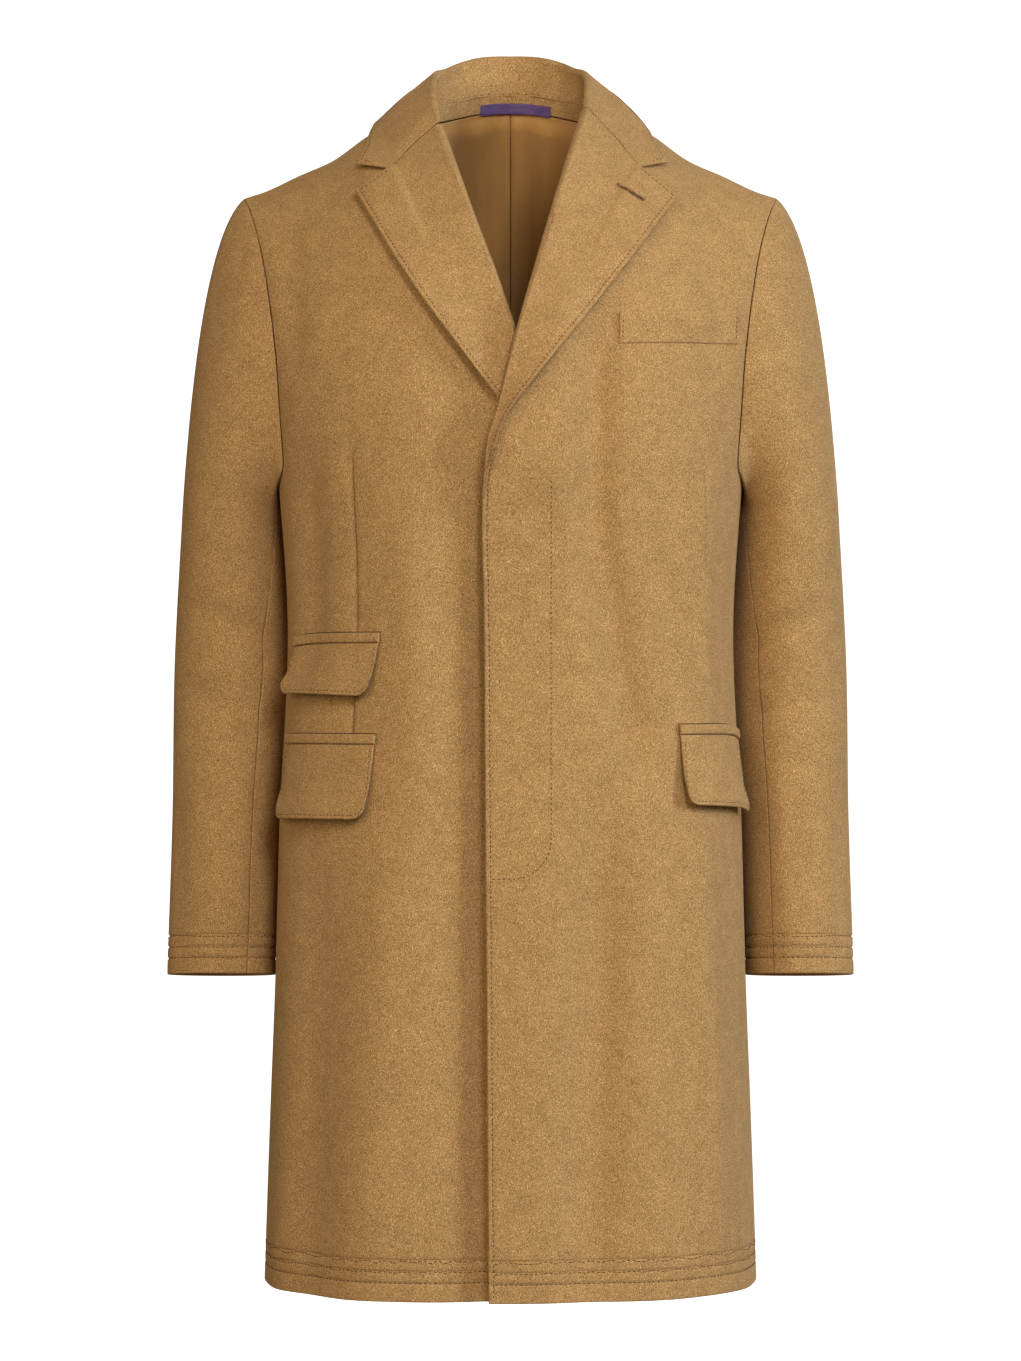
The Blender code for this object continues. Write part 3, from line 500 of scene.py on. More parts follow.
def clothPiece(node, face, normal, thickness, roundEdge, side=1, finish=wool,
               inside=None, insideFrom=0, sewn=(), alsoFor=()):
    # closed shell between a face and its back: half the thickness each side of a middle sheet,
    # drawn in to a round edge along all four borders
    name = f"{node}_cloth"
    face, normal = mirrored(face, side), mirrored(normal, side)
    rows, columns = face.shape[:2]
    face = face + normal * sewnGroove(face, sewn)[..., None]
    down, across = runAlong(face, 0), runAlong(face, 1)
    edge = np.minimum(np.minimum(down, down[-1:] - down), np.minimum(across, across[:, -1:] - across))
    share = 1.0 - np.clip(edge / roundEdge, 0.0, 1.0)
    half = (thickness / 2 * np.sqrt(1.0 - share ** 2))[..., None]
    middle = face - normal * (thickness / 2)
    index = np.arange(rows * columns).reshape(rows, columns)
    border = np.ones((rows, columns), bool)
    border[1:-1, 1:-1] = False
    backIndex = np.where(border, index, 0)
    backIndex[~border] = rows * columns + np.arange((~border).sum())
    points = np.concatenate([(middle + normal * half).reshape(-1, 3), (middle - normal * half)[~border]])
    front, back = gridCells(index), gridCells(backIndex)[:, ::-1]
    r, c = rows // 2, columns // 2
    turn = np.cross(face[r, c + 1] - face[r, c], face[r + 1, c] - face[r, c])
    if np.dot(turn, normal[r, c]) < 0:
        front, back = front[:, ::-1], back[:, ::-1]
    lined = np.zeros((rows - 1, columns - 1), np.int32)
    if inside is not None:
        lined[:, insideFrom:] = 1
    picks = np.concatenate([np.zeros(len(front), np.int32), lined.ravel()])
    finishes = [finish] if inside is None else [finish, inside]
    piece = newObject(name, points, np.concatenate([front, back]), finishes, picks)
    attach(piece, "root")
    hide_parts(node, *alsoFor)
    width, length, area = flatCut(middle)
    width, length = max(width, cloth["leastSide"]), max(length, cloth["leastSide"])
    print(f"{name}: {len(points)} points, cut {width:.3f} x {length:.3f} m, {area:.4f} m2")
    if sewn:
        addStitchAndShadeBits(f"{name}_stitches", piece, [stitchLine(face, normal, row) for row in sewn])
    return piece


# Fronts: edges, lap, darts, and creases as (angle x girth, level) lines with width and depth
fronts = dict(
    lapFull=0.035, lapNone=0.085, lapOver=0.0030, lapUnder=0.0068, lapelStep=0.0046,
    stepLow=-0.300, stepLowEnd=-0.350, stepHigh=-0.185, stepHighEnd=-0.120,
    width=0.310, step=0.0050, roundEdge=0.0012, facing=0.085, rollBack=0.0025, rollBlend=0.03,
    hemRows=(0.016, 0.0255, 0.035), groove=0.0016, hemStitch=0.0032, hemClear=0.003,
    edgeInset=0.0042, edgeGroove=0.0006, edgeStop=0.385,
    dartSharp=0.0010, dartSoft=0.012, dartFoot=0.01, dartFade=0.03, dartLevel=-0.1,
    bendBelow=0.10, bendLevels=(0.10, -0.02), bendShares=(0.04, 0.96),
    left=dict(
        side=1,
        edge=dict(
            z=(-1.006, -0.670, -0.430, -0.340, -0.289, -0.257, -0.192, -0.100, -0.040, -0.014, 0.002),
            x=(-0.018, -0.0204, -0.0221, -0.0235, -0.0188, -0.0096, 0.0063, 0.033, 0.0535, 0.0700, 0.0735)),
        dart=dict(z=(-0.400, -0.270), x=(0.162, 0.161), depth=0.0016, hollow=0.0008),
        creases=(((0.052, -0.225), (0.062, -0.395), 0.016, -0.0110),
                 ((0.062, -0.370), (0.100, -0.570), 0.020, -0.0110),
                 ((0.165, -0.300), (0.185, -0.530), 0.026, 0.0060),
                 ((0.064, -0.580), (0.044, -1.030), 0.024, -0.0145),
                 ((0.165, -0.590), (0.170, -1.020), 0.026, 0.0070),
                 ((0.150, -0.120), (0.178, -0.270), 0.020, -0.0040),
                 ((0.030, -0.380), (0.034, -0.640), 0.010, -0.0010))),
    right=dict(
        side=-1,
        edge=dict(
            z=(-1.006, -0.670, -0.430, -0.340, -0.300, -0.257, -0.185, -0.100, -0.040, -0.014, 0.002),
            x=(-0.030, -0.030, -0.032, -0.034, -0.033, -0.026, -0.0021, 0.030, 0.0525, 0.0700, 0.0735)),
        dart=dict(z=(-0.545, -0.448, -0.385, -0.252), x=(0.1348, 0.1302, 0.1306, 0.1372),
                  depth=0.0038, hollow=0.0012),
        creases=(((0.014, -0.250), (0.013, -1.100), 0.015, -0.0075),
                 ((0.014, -0.260), (0.013, -1.100), 0.008, -0.0050),
                 ((0.185, -0.290), (0.200, -0.500), 0.028, -0.0065),
                 ((0.090, -0.620), (0.100, -1.020), 0.032, 0.0085),
                 ((0.172, -0.620), (0.170, -1.020), 0.030, -0.0050),
                 ((0.160, -0.110), (0.190, -0.260), 0.020, -0.0040),
                 ((0.075, -0.330), (0.070, -0.580), 0.030, 0.0050))),
)
bothSides = ("right", "left")


def lapShift(x, z, side):
    # how far a front stands off the body near the centre: the left over, the right under
    near = 1.0 - ramp(fronts["lapFull"], fronts["lapNone"], np.abs(x))
    low = 1.0 - ramp(fronts["stepHigh"], fronts["stepHighEnd"], z)
    if side > 0:
        step = ramp(fronts["stepLowEnd"], fronts["stepLow"], z) * low
        return near * (fronts["lapOver"] * low + fronts["lapelStep"] * step)
    return -near * fronts["lapUnder"] * low


def dartAngle(level, half):
    # angle of the dart's line at each level, held past its ends
    dart = half["dart"]
    phi, place = bodyPlace(dart["x"], dart["z"])
    return np.interp(level, place, phi)


def creaseHeight(level):
    # height by which creases are placed: metres up to the chest, and over it the angle times the girth
    return body["chestZ"] + np.minimum(level, 0.0) + np.maximum(level, 0.0) * body["girth"]


def frontRelief(phi, level, half, darts):
    # creases, and the dart's sharp line in a soft hollow, fading at its ends
    z = creaseHeight(level)
    relief = softCreases(phi * body["girth"], z, half["creases"])
    dart = half["dart"]
    away = (phi - dartAngle(level, half)) * body["girth"]
    foot, top = dart["z"][0], dart["z"][-1]
    inside = ramp(foot - fronts["dartFoot"], foot + fronts["dartFoot"], z)
    inside = inside * ramp(top, top - fronts["dartFade"], z)
    line = dart["depth"] * np.exp(-(away / fronts["dartSharp"]) ** 2)
    hollow = dart["hollow"] * np.exp(-(away / fronts["dartSoft"]) ** 2)
    return relief - darts * inside * (line + hollow)


def frontSurface(phi, level, half, lift=0.0, darts=0.0):
    # the body's surface moved out along its normal by the lap, the creases, the dart if wanted, and a lift
    base = bodySurface(phi, level)
    normal = bodyNormal(phi, level)
    shift = lapShift(base[..., 0], base[..., 2], half["side"]) + frontRelief(phi, level, half, darts) + lift
    return base + normal * np.asarray(shift)[..., None], normal


def lapAngle(level, half):
    # angle of a front's inner edge: lap edge, roll line and neckline, to the shoulder neck point
    phi, place = bodyPlace(half["edge"]["x"], half["edge"]["z"])
    neck, _ = bodyPlace(body["neckPointX"], shoulderZ(body["neckPointX"]))
    edge = softCurve(np.append(place, quarterTurn), np.append(phi, neck), level)
    blend = ramp(-fronts["rollBlend"], fronts["rollBlend"], level)
    return edge + fronts["rollBack"] / body["girth"] * blend


def bodyRows(step):
    # levels from the hem to the shoulder seam: skirt, round of the armpit, chest,
    # and close rows to the ridge
    length = body["chestZ"] - body["hemZ"] - body["armpitDrop"]
    skirt = closeSteps(length, step, fronts["hemRows"]) + body["hemZ"] - body["chestZ"]
    under = -body["armpitDrop"] * np.cos(np.linspace(0.0, quarterTurn, body["armpitRows"]))[1:]
    over = np.linspace(0.0, body["seamTop"] - body["ridgeStart"], int(body["overLength"] / step))[1:]
    ridge = quarterTurn - np.array(body["ridgeRows"])
    return np.concatenate([skirt, under, over, ridge])


def hemSewing():
    # rows of stitches round the hem
    clear = fronts["hemClear"]
    return [sewnRow("foot", row, fronts["groove"], clear, clear, length=fronts["hemStitch"])
            for row in fronts["hemRows"]]


def makeFront(sideName):
    # columns as shares between the lap's edge and the side seam,
    # drawn sideways so that one follows the dart
    half = fronts[sideName]
    rows = bodyRows(fronts["step"])
    slit = cloth["slit"] / body["girth"] * ramp(-body["armpitDrop"], 0.0, rows)
    start, end = lapAngle(rows, half)[:, None], (seamAngle(rows, False) - slit)[:, None]
    dartShare = float((dartAngle(fronts["dartLevel"], half) - start.min()) / (end.max() - start.min()))
    columns = closeShares(fronts["width"], fronts["step"], (dartShare * fronts["width"],))
    phi = start + (end - start) * columns
    foot = half["dart"]["z"][0]
    inDart = ramp(foot - fronts["bendBelow"], foot, body["chestZ"] + rows)
    inDart = inDart * ramp(*fronts["bendLevels"], rows)
    first, last = fronts["bendShares"]
    bend = ramp(first, dartShare, columns) * ramp(last, dartShare, columns)
    off = dartAngle(rows, half) - (start + (end - start) * dartShare)[:, 0]
    phi = phi + (inDart * off)[:, None] * bend
    level = np.repeat(rows[:, None], len(columns), 1)
    face, normal = frontSurface(phi, level, half, darts=1.0)
    normal[-1, :, 1] = 0.0      # both cloths meet edge to edge at the shoulder
    normal = unit(normal)
    facing = int(np.searchsorted(columns, fronts["facing"] / fronts["width"]))
    sewn = hemSewing()
    if half["side"] > 0:
        sewn.append(sewnRow("left", fronts["edgeInset"], fronts["edgeGroove"], stop=fronts["edgeStop"]))
    return clothPiece(f"front_{sideName}", face, normal, cloth["wool"], fronts["roundEdge"], half["side"],
                      inside=satin, insideFrom=facing, sewn=sewn)


frontCloth = {sideName: makeFront(sideName) for sideName in bothSides}

# The stitched line that holds the covered button stand: down the front, round a corner, out to the edge
fly = dict(x=0.0338, top=-0.3204, low=-0.6196, foot=-0.6539, edge=-0.0170, corner=0.0317, stitch=0.0020,
           downPoints=120, cornerPoints=24, levelPoints=12)


def makeFly():
    # upright line, quarter of an ellipse, level line, set on the left front
    turn = np.linspace(0.0, quarterTurn, fly["cornerPoints"])
    x = np.concatenate([np.full(fly["downPoints"], fly["x"]),
                        fly["x"] - fly["corner"] * (1 - np.cos(turn)),
                        np.linspace(fly["x"] - fly["corner"], fly["edge"], fly["levelPoints"])])
    z = np.concatenate([np.linspace(fly["top"], fly["low"], fly["downPoints"]),
                        fly["low"] - (fly["low"] - fly["foot"]) * np.sin(turn),
                        np.full(fly["levelPoints"], fly["foot"])])
    phi, level = bodyPlace(x, z)
    line, up = frontSurface(phi, level, fronts["left"])
    along = runAlong(line[None], 1)[0]
    addStitchAndShadeBits("fly_stitches", frontCloth["left"], [stitchPlaces(line, up, along, length=fly["stitch"])])


makeFly()


# Back halves, with the centre seam, the same hem rows and hanging creases
backs = dict(
    neckShare=0.265, width=0.290, step=0.0058, roundEdge=0.0012,
    creases=(((0.100, -0.330), (0.085, -0.560), 0.030, -0.0045),
             ((0.200, -0.300), (0.185, -0.470), 0.022, -0.0035),
             ((0.155, -0.560), (0.150, -1.020), 0.030, 0.0055),
             ((0.055, -0.640), (0.060, -1.020), 0.028, -0.0055),
             ((0.230, -0.580), (0.225, -1.020), 0.024, -0.0045),
             ((0.060, -0.120), (0.150, -0.170), 0.018, -0.0025)),
)


def backGrid(rows, columns):
    # angles and levels of one back half: columns from the centre seam, top along neck and shoulder
    share = np.clip(columns / backs["neckShare"], 0.0, 1.0)
    neckX = body["neckPointX"] * share
    neckline = body["backNeck"]
    neckPhi, neckLevel = bodyPlace(neckX, softCurve(neckline["x"], neckline["z"], neckX), True)
    pointPhi, _ = bodyPlace(body["neckPointX"], neckline["z"][-1], True)
    beyond = np.clip((columns - backs["neckShare"]) / (1 - backs["neckShare"]), 0.0, 1.0)
    tipPhi = seamAngle(body["seamTop"], True)
    endPhi = np.where(share < 1, neckPhi, pointPhi + (tipPhi - pointPhi) * beyond)
    endLevel = np.where(share < 1, np.minimum(neckLevel, body["seamTop"]), body["seamTop"])
    outer = seamAngle(rows, True)[:, None]
    low = halfTurn + (outer - halfTurn) * columns
    phi = low + (endPhi - low) * ramp(0.0, body["seamTop"], rows)[:, None]
    phi[:, 0] = halfTurn
    phi[:, -1] = outer[:, 0]
    level = rows[:, None] + 0.0 * columns
    return phi, np.where(level > 0, rows[:, None] * endLevel / body["seamTop"], level)


def makeBack(sideName):
    # the body's surface behind, with its creases, flat at the centre seam and at the shoulder seam
    rows = bodyRows(backs["step"])
    columns = closeShares(backs["width"], backs["step"])
    phi, level = backGrid(rows, columns)
    normal = bodyNormal(phi, level)
    normal[:, 0, 0] = 0.0
    normal[-1, columns >= backs["neckShare"], 1] = 0.0
    normal = unit(normal)
    relief = softCreases((halfTurn - phi) * body["girth"], creaseHeight(level), backs["creases"])
    face = bodySurface(phi, level) + normal * relief[..., None]
    clothPiece(f"back_{sideName}", face, normal, cloth["wool"], backs["roundEdge"],
               fronts[sideName]["side"], inside=satin, sewn=hemSewing(),
               alsoFor=(f"back_top_{sideName}",))


for backName in bothSides:
    makeBack(backName)


# Sleeves: oval sections below the armhole, cap, seams, cuff rows and creases as (turn x girth, level) lines
sleeves = dict(
    z=(-0.738, -0.610, -0.470, -0.345), x=(0.25245, 0.24825, 0.24275, 0.24285),
    y=(0.016, 0.028, 0.040, 0.030), half=(0.04725, 0.04805, 0.05225, 0.04485),
    depth=(0.0500, 0.0560, 0.0640, 0.0730), underPoints=24, upPoints=120,
    capSlope=(0.76, 0.0, -0.65), capStart=0.50, capEnd=0.85, capStep=0.02, capLength=0.160,
    capEdge=(0.6, 1.0, 1.0),
    forearmLevel=-0.008, forearmZ=(-0.740, -0.540, -0.436, -0.345), forearmTurn=(2.13, 2.12, 2.22, 2.66),
    cuffFront=-0.7405, cuffSlant=0.0045, step=0.0048, firstStep=0.002, girth=0.055, roundEdge=0.0011,
    cuffRows=(0.014, 0.0235, 0.0335), groove=0.0013, cuffStitch=0.0030, cuffClear=0.002,
    widths=dict(topsleeve=0.270, undersleeve=0.080), beyond=0.01,
    creases=(((0.050, -0.425), (0.150, -0.462), 0.011, -0.0030),
             ((0.030, -0.500), (0.135, -0.520), 0.012, -0.0026),
             ((0.060, -0.300), (0.085, -0.420), 0.014, -0.0022),
             ((0.105, -0.560), (0.100, -0.740), 0.014, 0.0026),
             ((0.030, -0.560), (0.045, -0.740), 0.014, -0.0022),
             ((0.260, -0.440), (0.330, -0.470), 0.012, -0.0030),
             ((0.250, -0.520), (0.320, -0.540), 0.012, -0.0025),
             ((0.200, -0.300), (0.230, -0.420), 0.014, -0.0022)),
)


def sleeveSection(turn, z):
    # oval section of the sleeve at a level, from its outer side over the front
    x, y, half, depth = (softCurve(sleeves["z"], sleeves[key], z) for key in ("x", "y", "half", "depth"))
    return np.stack(np.broadcast_arrays(x + half * np.cos(turn), y - depth * np.sin(turn), z), -1)


def armholeRing():
    # dense points of the armhole from the shoulder tip over the front, under the arm and up the back,
    # with the angle round the sleeve of each: half a turn down the front, half a turn up the back
    under = -body["armpitDrop"] * np.cos(np.linspace(0.0, quarterTurn, sleeves["underPoints"]))
    rows = np.concatenate([under, np.linspace(0.0, body["seamTop"], sleeves["upPoints"])[1:]])
    level = np.concatenate([rows[::-1], rows[1:]])
    behind = np.arange(len(level)) >= len(rows)
    phi = np.where(behind, seamAngle(level, True), seamAngle(level, False))
    points = bodySurface(phi, level)
    points[[0, -1]] = (points[0] + points[-1]) / 2
    run = runAlong(points[None], 1)[0]
    low = len(rows) - 1
    upBack = 1 + (run - run[low]) / (run[-1] - run[low])
    turn = halfTurn * np.where(np.arange(len(run)) <= low, run / run[low], upBack)
    forearm = float(np.interp(sleeves["forearmLevel"] * body["seamTop"], rows, turn[:len(rows)][::-1]))
    return points, turn, forearm


def sleeveTurn(part, share, seam):
    # turn round the arm at a share of the way from seam to seam: the undersleeve from the forearm seam
    # to the middle of the inner side, the topsleeve from there all the way round to the forearm seam
    if part == "undersleeve":
        return seam + (halfTurn - seam) * share
    return halfTurn + (halfTurn + seam) * share


def sleeveGrid(share, part):
    # rows down the sleeve: a cap curving out of the armhole to the top section, then sections to the cuff;
    # columns as shares between the seams, and the turn of each point round the sleeve
    ringPoints, ringTurn, forearm = armholeRing()
    topTurn = sleeveTurn(part, share, forearm)
    ring = np.stack([np.interp(topTurn % (2 * halfTurn), ringTurn, ringPoints[:, k]) for k in range(3)], -1)
    top = sleeves["z"][-1]
    length = top - sleeves["cuffFront"]
    down = closeSteps(length, sleeves["step"], [length - row for row in sleeves["cuffRows"]])
    down = down[down > sleeves["firstStep"]][:, None]
    armTurn = sleeveTurn(part, share, softCurve(sleeves["forearmZ"], sleeves["forearmTurn"], top - down))
    cuff = sleeves["cuffFront"] - sleeves["cuffSlant"] * (1 - np.sin(armTurn))
    arm = sleeveSection(armTurn, top + (cuff - top) * down / length)
    endTurn = sleeveTurn(part, share, sleeves["forearmTurn"][-1])
    capEnd = sleeveSection(endTurn, np.full_like(endTurn, top))
    reach = np.linalg.norm(capEnd - ring, axis=1, keepdims=True)
    leave = unit(np.array(sleeves["capSlope"])) * reach * sleeves["capStart"]
    below = sleeveSection(endTurn, np.full_like(endTurn, top - sleeves["capStep"]))
    arrive = unit(below - capEnd) * reach * sleeves["capEnd"]
    t = closeSteps(sleeves["capLength"], sleeves["step"])[:1 - len(steps["ends"])]
    t = (t / t.max())[:, None, None]
    cap = ((1 + 2 * t) * (1 - t) ** 2 * ring + t * (1 - t) ** 2 * leave
           + t * t * (3 - 2 * t) * capEnd - t * t * (1 - t) * arrive)
    capTurn = topTurn + (endTurn - topTurn) * t[..., 0]
    return np.concatenate([cap, arm]), np.concatenate([capTurn, armTurn])


def makeSleeve(sideName):
    # both pieces of a sleeve, worked out one column past each seam so that their normals agree there
    clear = sleeves["cuffClear"]
    sewn = [sewnRow("top", row, sleeves["groove"], clear, clear, length=sleeves["cuffStitch"])
            for row in sleeves["cuffRows"]]
    for part, width in sleeves["widths"].items():
        slit = cloth["slit"] / width / 2
        share = slit + (1 - 2 * slit) * closeSteps(width, sleeves["step"]) / width
        wide = np.concatenate([share[:1] - sleeves["beyond"], share, share[-1:] + sleeves["beyond"]])
        rings, turn = sleeveGrid(wide, part)
        normal = unit(np.cross(np.gradient(rings, axis=1), np.gradient(rings, axis=0)))[:, 1:-1]
        rings, turn = rings[:, 1:-1], turn[:, 1:-1]
        normal[0] = unit(normal[0] * np.array(sleeves["capEdge"]))
        relief = softCreases((turn % (2 * halfTurn)) * sleeves["girth"], rings[..., 2], sleeves["creases"])
        face = rings + normal * relief[..., None]
        clothPiece(f"{part}_{sideName}", face, normal, cloth["wool"], sleeves["roundEdge"],
                   fronts[sideName]["side"], inside=satin, sewn=sewn)


for sleeveName in bothSides:
    makeSleeve(sleeveName)


# Collar: foot, bend and fold of the stand, and place of the fall's edge, from the centre back to the
# front end; these lines stop at a share of their length that differs from side to side
collarCut = dict(
    s=(-0.35, 0.0, 0.35, 0.62, 0.80, 0.91, 1.0),
    footX=(-0.0285, 0.0, 0.0285, 0.0507, 0.0690, 0.0685, 0.0657),
    footY=(0.0545, 0.0655, 0.0545, 0.0345, -0.0030, -0.0280, -0.0430),
    footZ=(0.0270, 0.0298, 0.0270, 0.0200, 0.0150, 0.0030, -0.0085),
    bendX=(-0.0305, 0.0, 0.0305, 0.0530, 0.0700, 0.0680, 0.0640),
    bendY=(0.0635, 0.0725, 0.0635, 0.0450, 0.0020, -0.0265, -0.0460),
    bendZ=(0.0350, 0.0370, 0.0350, 0.0300, 0.0250, 0.0090, -0.0085),
    foldX=(-0.0315, 0.0, 0.0315, 0.0530, 0.0655, 0.0650, 0.0597),
    foldY=(0.0690, 0.0780, 0.0690, 0.0480, 0.0080, -0.0230, -0.0535),
    foldZ=(0.0630, 0.0662, 0.0630, 0.0520, 0.0385, 0.0185, -0.0078),
    ridge=0.80, ridgeBlend=0.03, gorgeFrom=0.82, foldRadius=0.0039, foldPoints=17, bulge=0.0022,
    length=0.215, standLength=0.040, standEnd=0.0385, fallLength=0.064, firstShare=0.006, firstFall=0.02,
    roundEdge=0.0014, step=0.0017, inset=0.0042, groove=0.0006, tipLift=0.0040, tipBlend=0.1,
    edgeLift=0.0006, startBlend=0.45,
    standRow=dict(inset=0.0030, groove=0.0011, spacing=0.0067, length=0.0030),
    left=dict(reach=0.955, edgeX=(-0.0460, 0.0, 0.0460, 0.0855, 0.1170, 0.1245, 0.1325),
              edgeZ=(0.0080, 0.0140, 0.0080, -0.0030, -0.0085, -0.0290, -0.0470),
              notch=(0.1095, -0.0510), tip=(0.1325, -0.0470)),
    right=dict(reach=0.995, edgeX=(-0.0460, 0.0, 0.0460, 0.0860, 0.1190, 0.1240, 0.1290),
               edgeZ=(0.0080, 0.0140, 0.0080, -0.0060, -0.0085, -0.0325, -0.0495),
               notch=(0.1020, -0.0530), tip=(0.1290, -0.0495)),
)

# Lapels: roll line, outer edge, notch and tip on their own side, the soft roll,
# and how far the edge stands off
lapels = dict(
    notchShare=0.79, gorgeStart=0.55, length=0.330, width=0.100, step=0.0017, roundEdge=0.0015,
    rollIn=0.0036, rollWide=0.0046, rollDepth=0.0097, rollLeast=0.0004, rollPast=0.0012,
    rollFull=0.030, rollPoints=15, rollColumn=3, tuck=0.012, tuckEnd=0.001, tuckPoints=5,
    calmFrom=0.60, calm=0.5, sewFrom=0.70, sewBlend=0.10, slitFrom=0.85, slitRow=-8,
    inset=0.0042, groove=0.0006, shallow=0.7, sewnFrom=0.010, sewnTo=0.003,
    left=dict(
        rollZ=(-0.335, -0.289, -0.257, -0.192, -0.100, 0.0040),
        rollX=(-0.0230, -0.0188, -0.0096, 0.0063, 0.0320, 0.0630),
        edgeZ=(-0.325, -0.293, -0.268, -0.226, -0.150, -0.0785),
        edgeX=(-0.0215, -0.0130, -0.0030, 0.0285, 0.0880, 0.1400),
        notch=(0.1095, -0.0510), tip=(0.1400, -0.0785), offFrom=0.03, offFull=0.20, off=0.0085),
    right=dict(
        rollZ=(-0.310, -0.283, -0.257, -0.185, -0.100, -0.0085),
        rollX=(-0.0330, -0.0310, -0.0250, -0.0021, 0.0290, 0.0600),
        edgeZ=(-0.300, -0.275, -0.257, -0.222, -0.150, -0.0745),
        edgeX=(-0.0300, -0.0080, 0.0060, 0.0330, 0.0850, 0.1295),
        notch=(0.1020, -0.0530), tip=(0.1295, -0.0745), offFrom=0.36, offFull=0.52, off=0.0105),
)


def cornerLine(across, start, notch, tip):
    # straight from the roll to the notch and on to the tip, each point a place (x, z)
    marks = (0.0, lapels["notchShare"], 1.0)
    return np.stack([np.interp(across, marks, (start[k], notch[k], tip[k])) for k in (0, 1)], -1)


def collarEdge(x, z, s):
    # the fall's lower edge lies on the back, over the shoulder seam and on the front
    lift = collarCut["edgeLift"] + cloth["collar"]
    places = []
    for behind in (True, False):
        phi, level = bodyPlace(x, np.minimum(z, shoulderZ(x)), behind)
        places.append(bodySurface(phi, level) + bodyNormal(phi, level) * lift)
    blend = collarCut["ridgeBlend"]
    over = ramp(collarCut["ridge"] - blend, collarCut["ridge"] + blend, s)[:, None]
    return places[0] * (1 - over) + places[1] * over


def collarLine(key, s):
    # one of the lines round the neck, read from its three tables
    return np.stack([softCurve(collarCut["s"], collarCut[key + axis], s) for axis in "XYZ"], -1)


def collarFrame(sideName, s):
    # for each place along the collar: foot and bend of the stand, middle of the fold's round,
    # the fall's edge, and the fold's directions up and out
    half = collarCut[sideName]
    foot, bend, fold = (collarLine(key, s * half["reach"]) for key in ("foot", "bend", "fold"))
    edgeX, edgeZ = (softCurve(collarCut["s"], half[key], s) for key in ("edgeX", "edgeZ"))
    edge = collarEdge(edgeX, edgeZ, s)
    downStand, downFall = unit(bend - fold), unit(edge - fold)
    up = -unit(downStand + downFall)
    out = unit(downFall - up * np.sum(downFall * up, -1, keepdims=True))
    return foot, bend, fold - up * collarCut["foldRadius"], edge, up, out


def gorgeLine(sideName, share, inward=0.0):
    # front end of the collar, sewn to the lapel as far as the notch: from the fold down on to the front
    half = collarCut[sideName]
    _, _, centre, _, up, out = collarFrame(sideName, np.array([1.0]))
    start = (centre + collarCut["foldRadius"] * out + inward * up)[-1]
    line = cornerLine(share, start[[0, 2]], half["notch"], half["tip"])
    phi, level = bodyPlace(line[:, 0], line[:, 1])
    lift = cloth["lie"] + cloth["rollLift"] + cloth["collar"]
    lift = lift + collarCut["tipLift"] * ramp(lapels["notchShare"] - collarCut["tipBlend"], 1.0, share)
    onFront = frontSurface(phi, level, fronts[sideName], lift)[0]
    return onFront + (start - onFront[0]) * (1 - ramp(0.0, collarCut["startBlend"], share))[:, None]


def collarHalf(sideName, s, stand, fall):
    # a hairpin section carried round the neck: stand bent in at its foot, fold of a small radius,
    # fall bulging a little
    foot, bend, centre, edge, up, out = collarFrame(sideName, s)
    radius = collarCut["foldRadius"]
    standTop = centre - out * radius
    t = stand[None, :, None]
    standPart = (foot[:, None] * (1 - t) ** 2 + bend[:, None] * (2 * t * (1 - t))
                 + standTop[:, None] * t ** 2)
    angle = np.radians(np.linspace(180, 0, collarCut["foldPoints"]))[None, :, None]
    foldPart = centre[:, None] + radius * (np.cos(angle) * out[:, None] + np.sin(angle) * up[:, None])
    start = foldPart[:, -1]
    bulge = unit(np.cross(np.gradient(edge, axis=0), edge - start))
    bulge = bulge * np.sign(np.sum(bulge * out, -1, keepdims=True))
    share = fall[None, :, None]
    fallPart = (start[:, None] + (edge - start)[:, None] * share
                + bulge[:, None] * collarCut["bulge"] * np.sin(halfTurn * share))
    end = gorgeLine(sideName, fall)
    fallPart = fallPart + (end - fallPart[-1]) * ramp(collarCut["gorgeFrom"], 1.0, s)[:, None, None]
    return np.concatenate([standPart[:, :-1], foldPart, fallPart[:, 1:]], 1)


def makeCollar():
    # both halves joined at the centre back, columns from the foot of the stand to the edge of the fall
    step = collarCut["step"]
    s = 1.0 - closeShares(collarCut["length"], step)[::-1]
    s = s[(s == 0.0) | (s > collarCut["firstShare"])]
    stand = closeSteps(collarCut["standLength"], step)
    stand = np.append(stand[stand < collarCut["standEnd"]] / collarCut["standEnd"], 1.0)
    fall = closeShares(collarCut["fallLength"], step)
    fall = np.append(0.0, fall[fall > collarCut["firstFall"]])
    left = collarHalf("left", s, stand, fall)
    right = mirrored(collarHalf("right", s, stand, fall), -1)
    face = np.concatenate([right[:0:-1], left])
    normal = unit(np.cross(np.gradient(face, axis=0), np.gradient(face, axis=1)))
    notch = len(stand) + collarCut["foldPoints"] - 2 + int(lapels["notchShare"] * len(fall))
    toNotch = [runAlong(face[[row]], 1)[0][notch] for row in (0, -1)]
    inset, groove = collarCut["inset"], collarCut["groove"]
    sewn = (sewnRow("right", inset, groove), sewnRow("left", **collarCut["standRow"]),
            sewnRow("foot", inset, groove, toNotch[0]), sewnRow("top", inset, groove, toNotch[1]))
    clothPiece("collar", face, normal, cloth["collar"], collarCut["roundEdge"],
               sewn=sewn)


makeCollar()


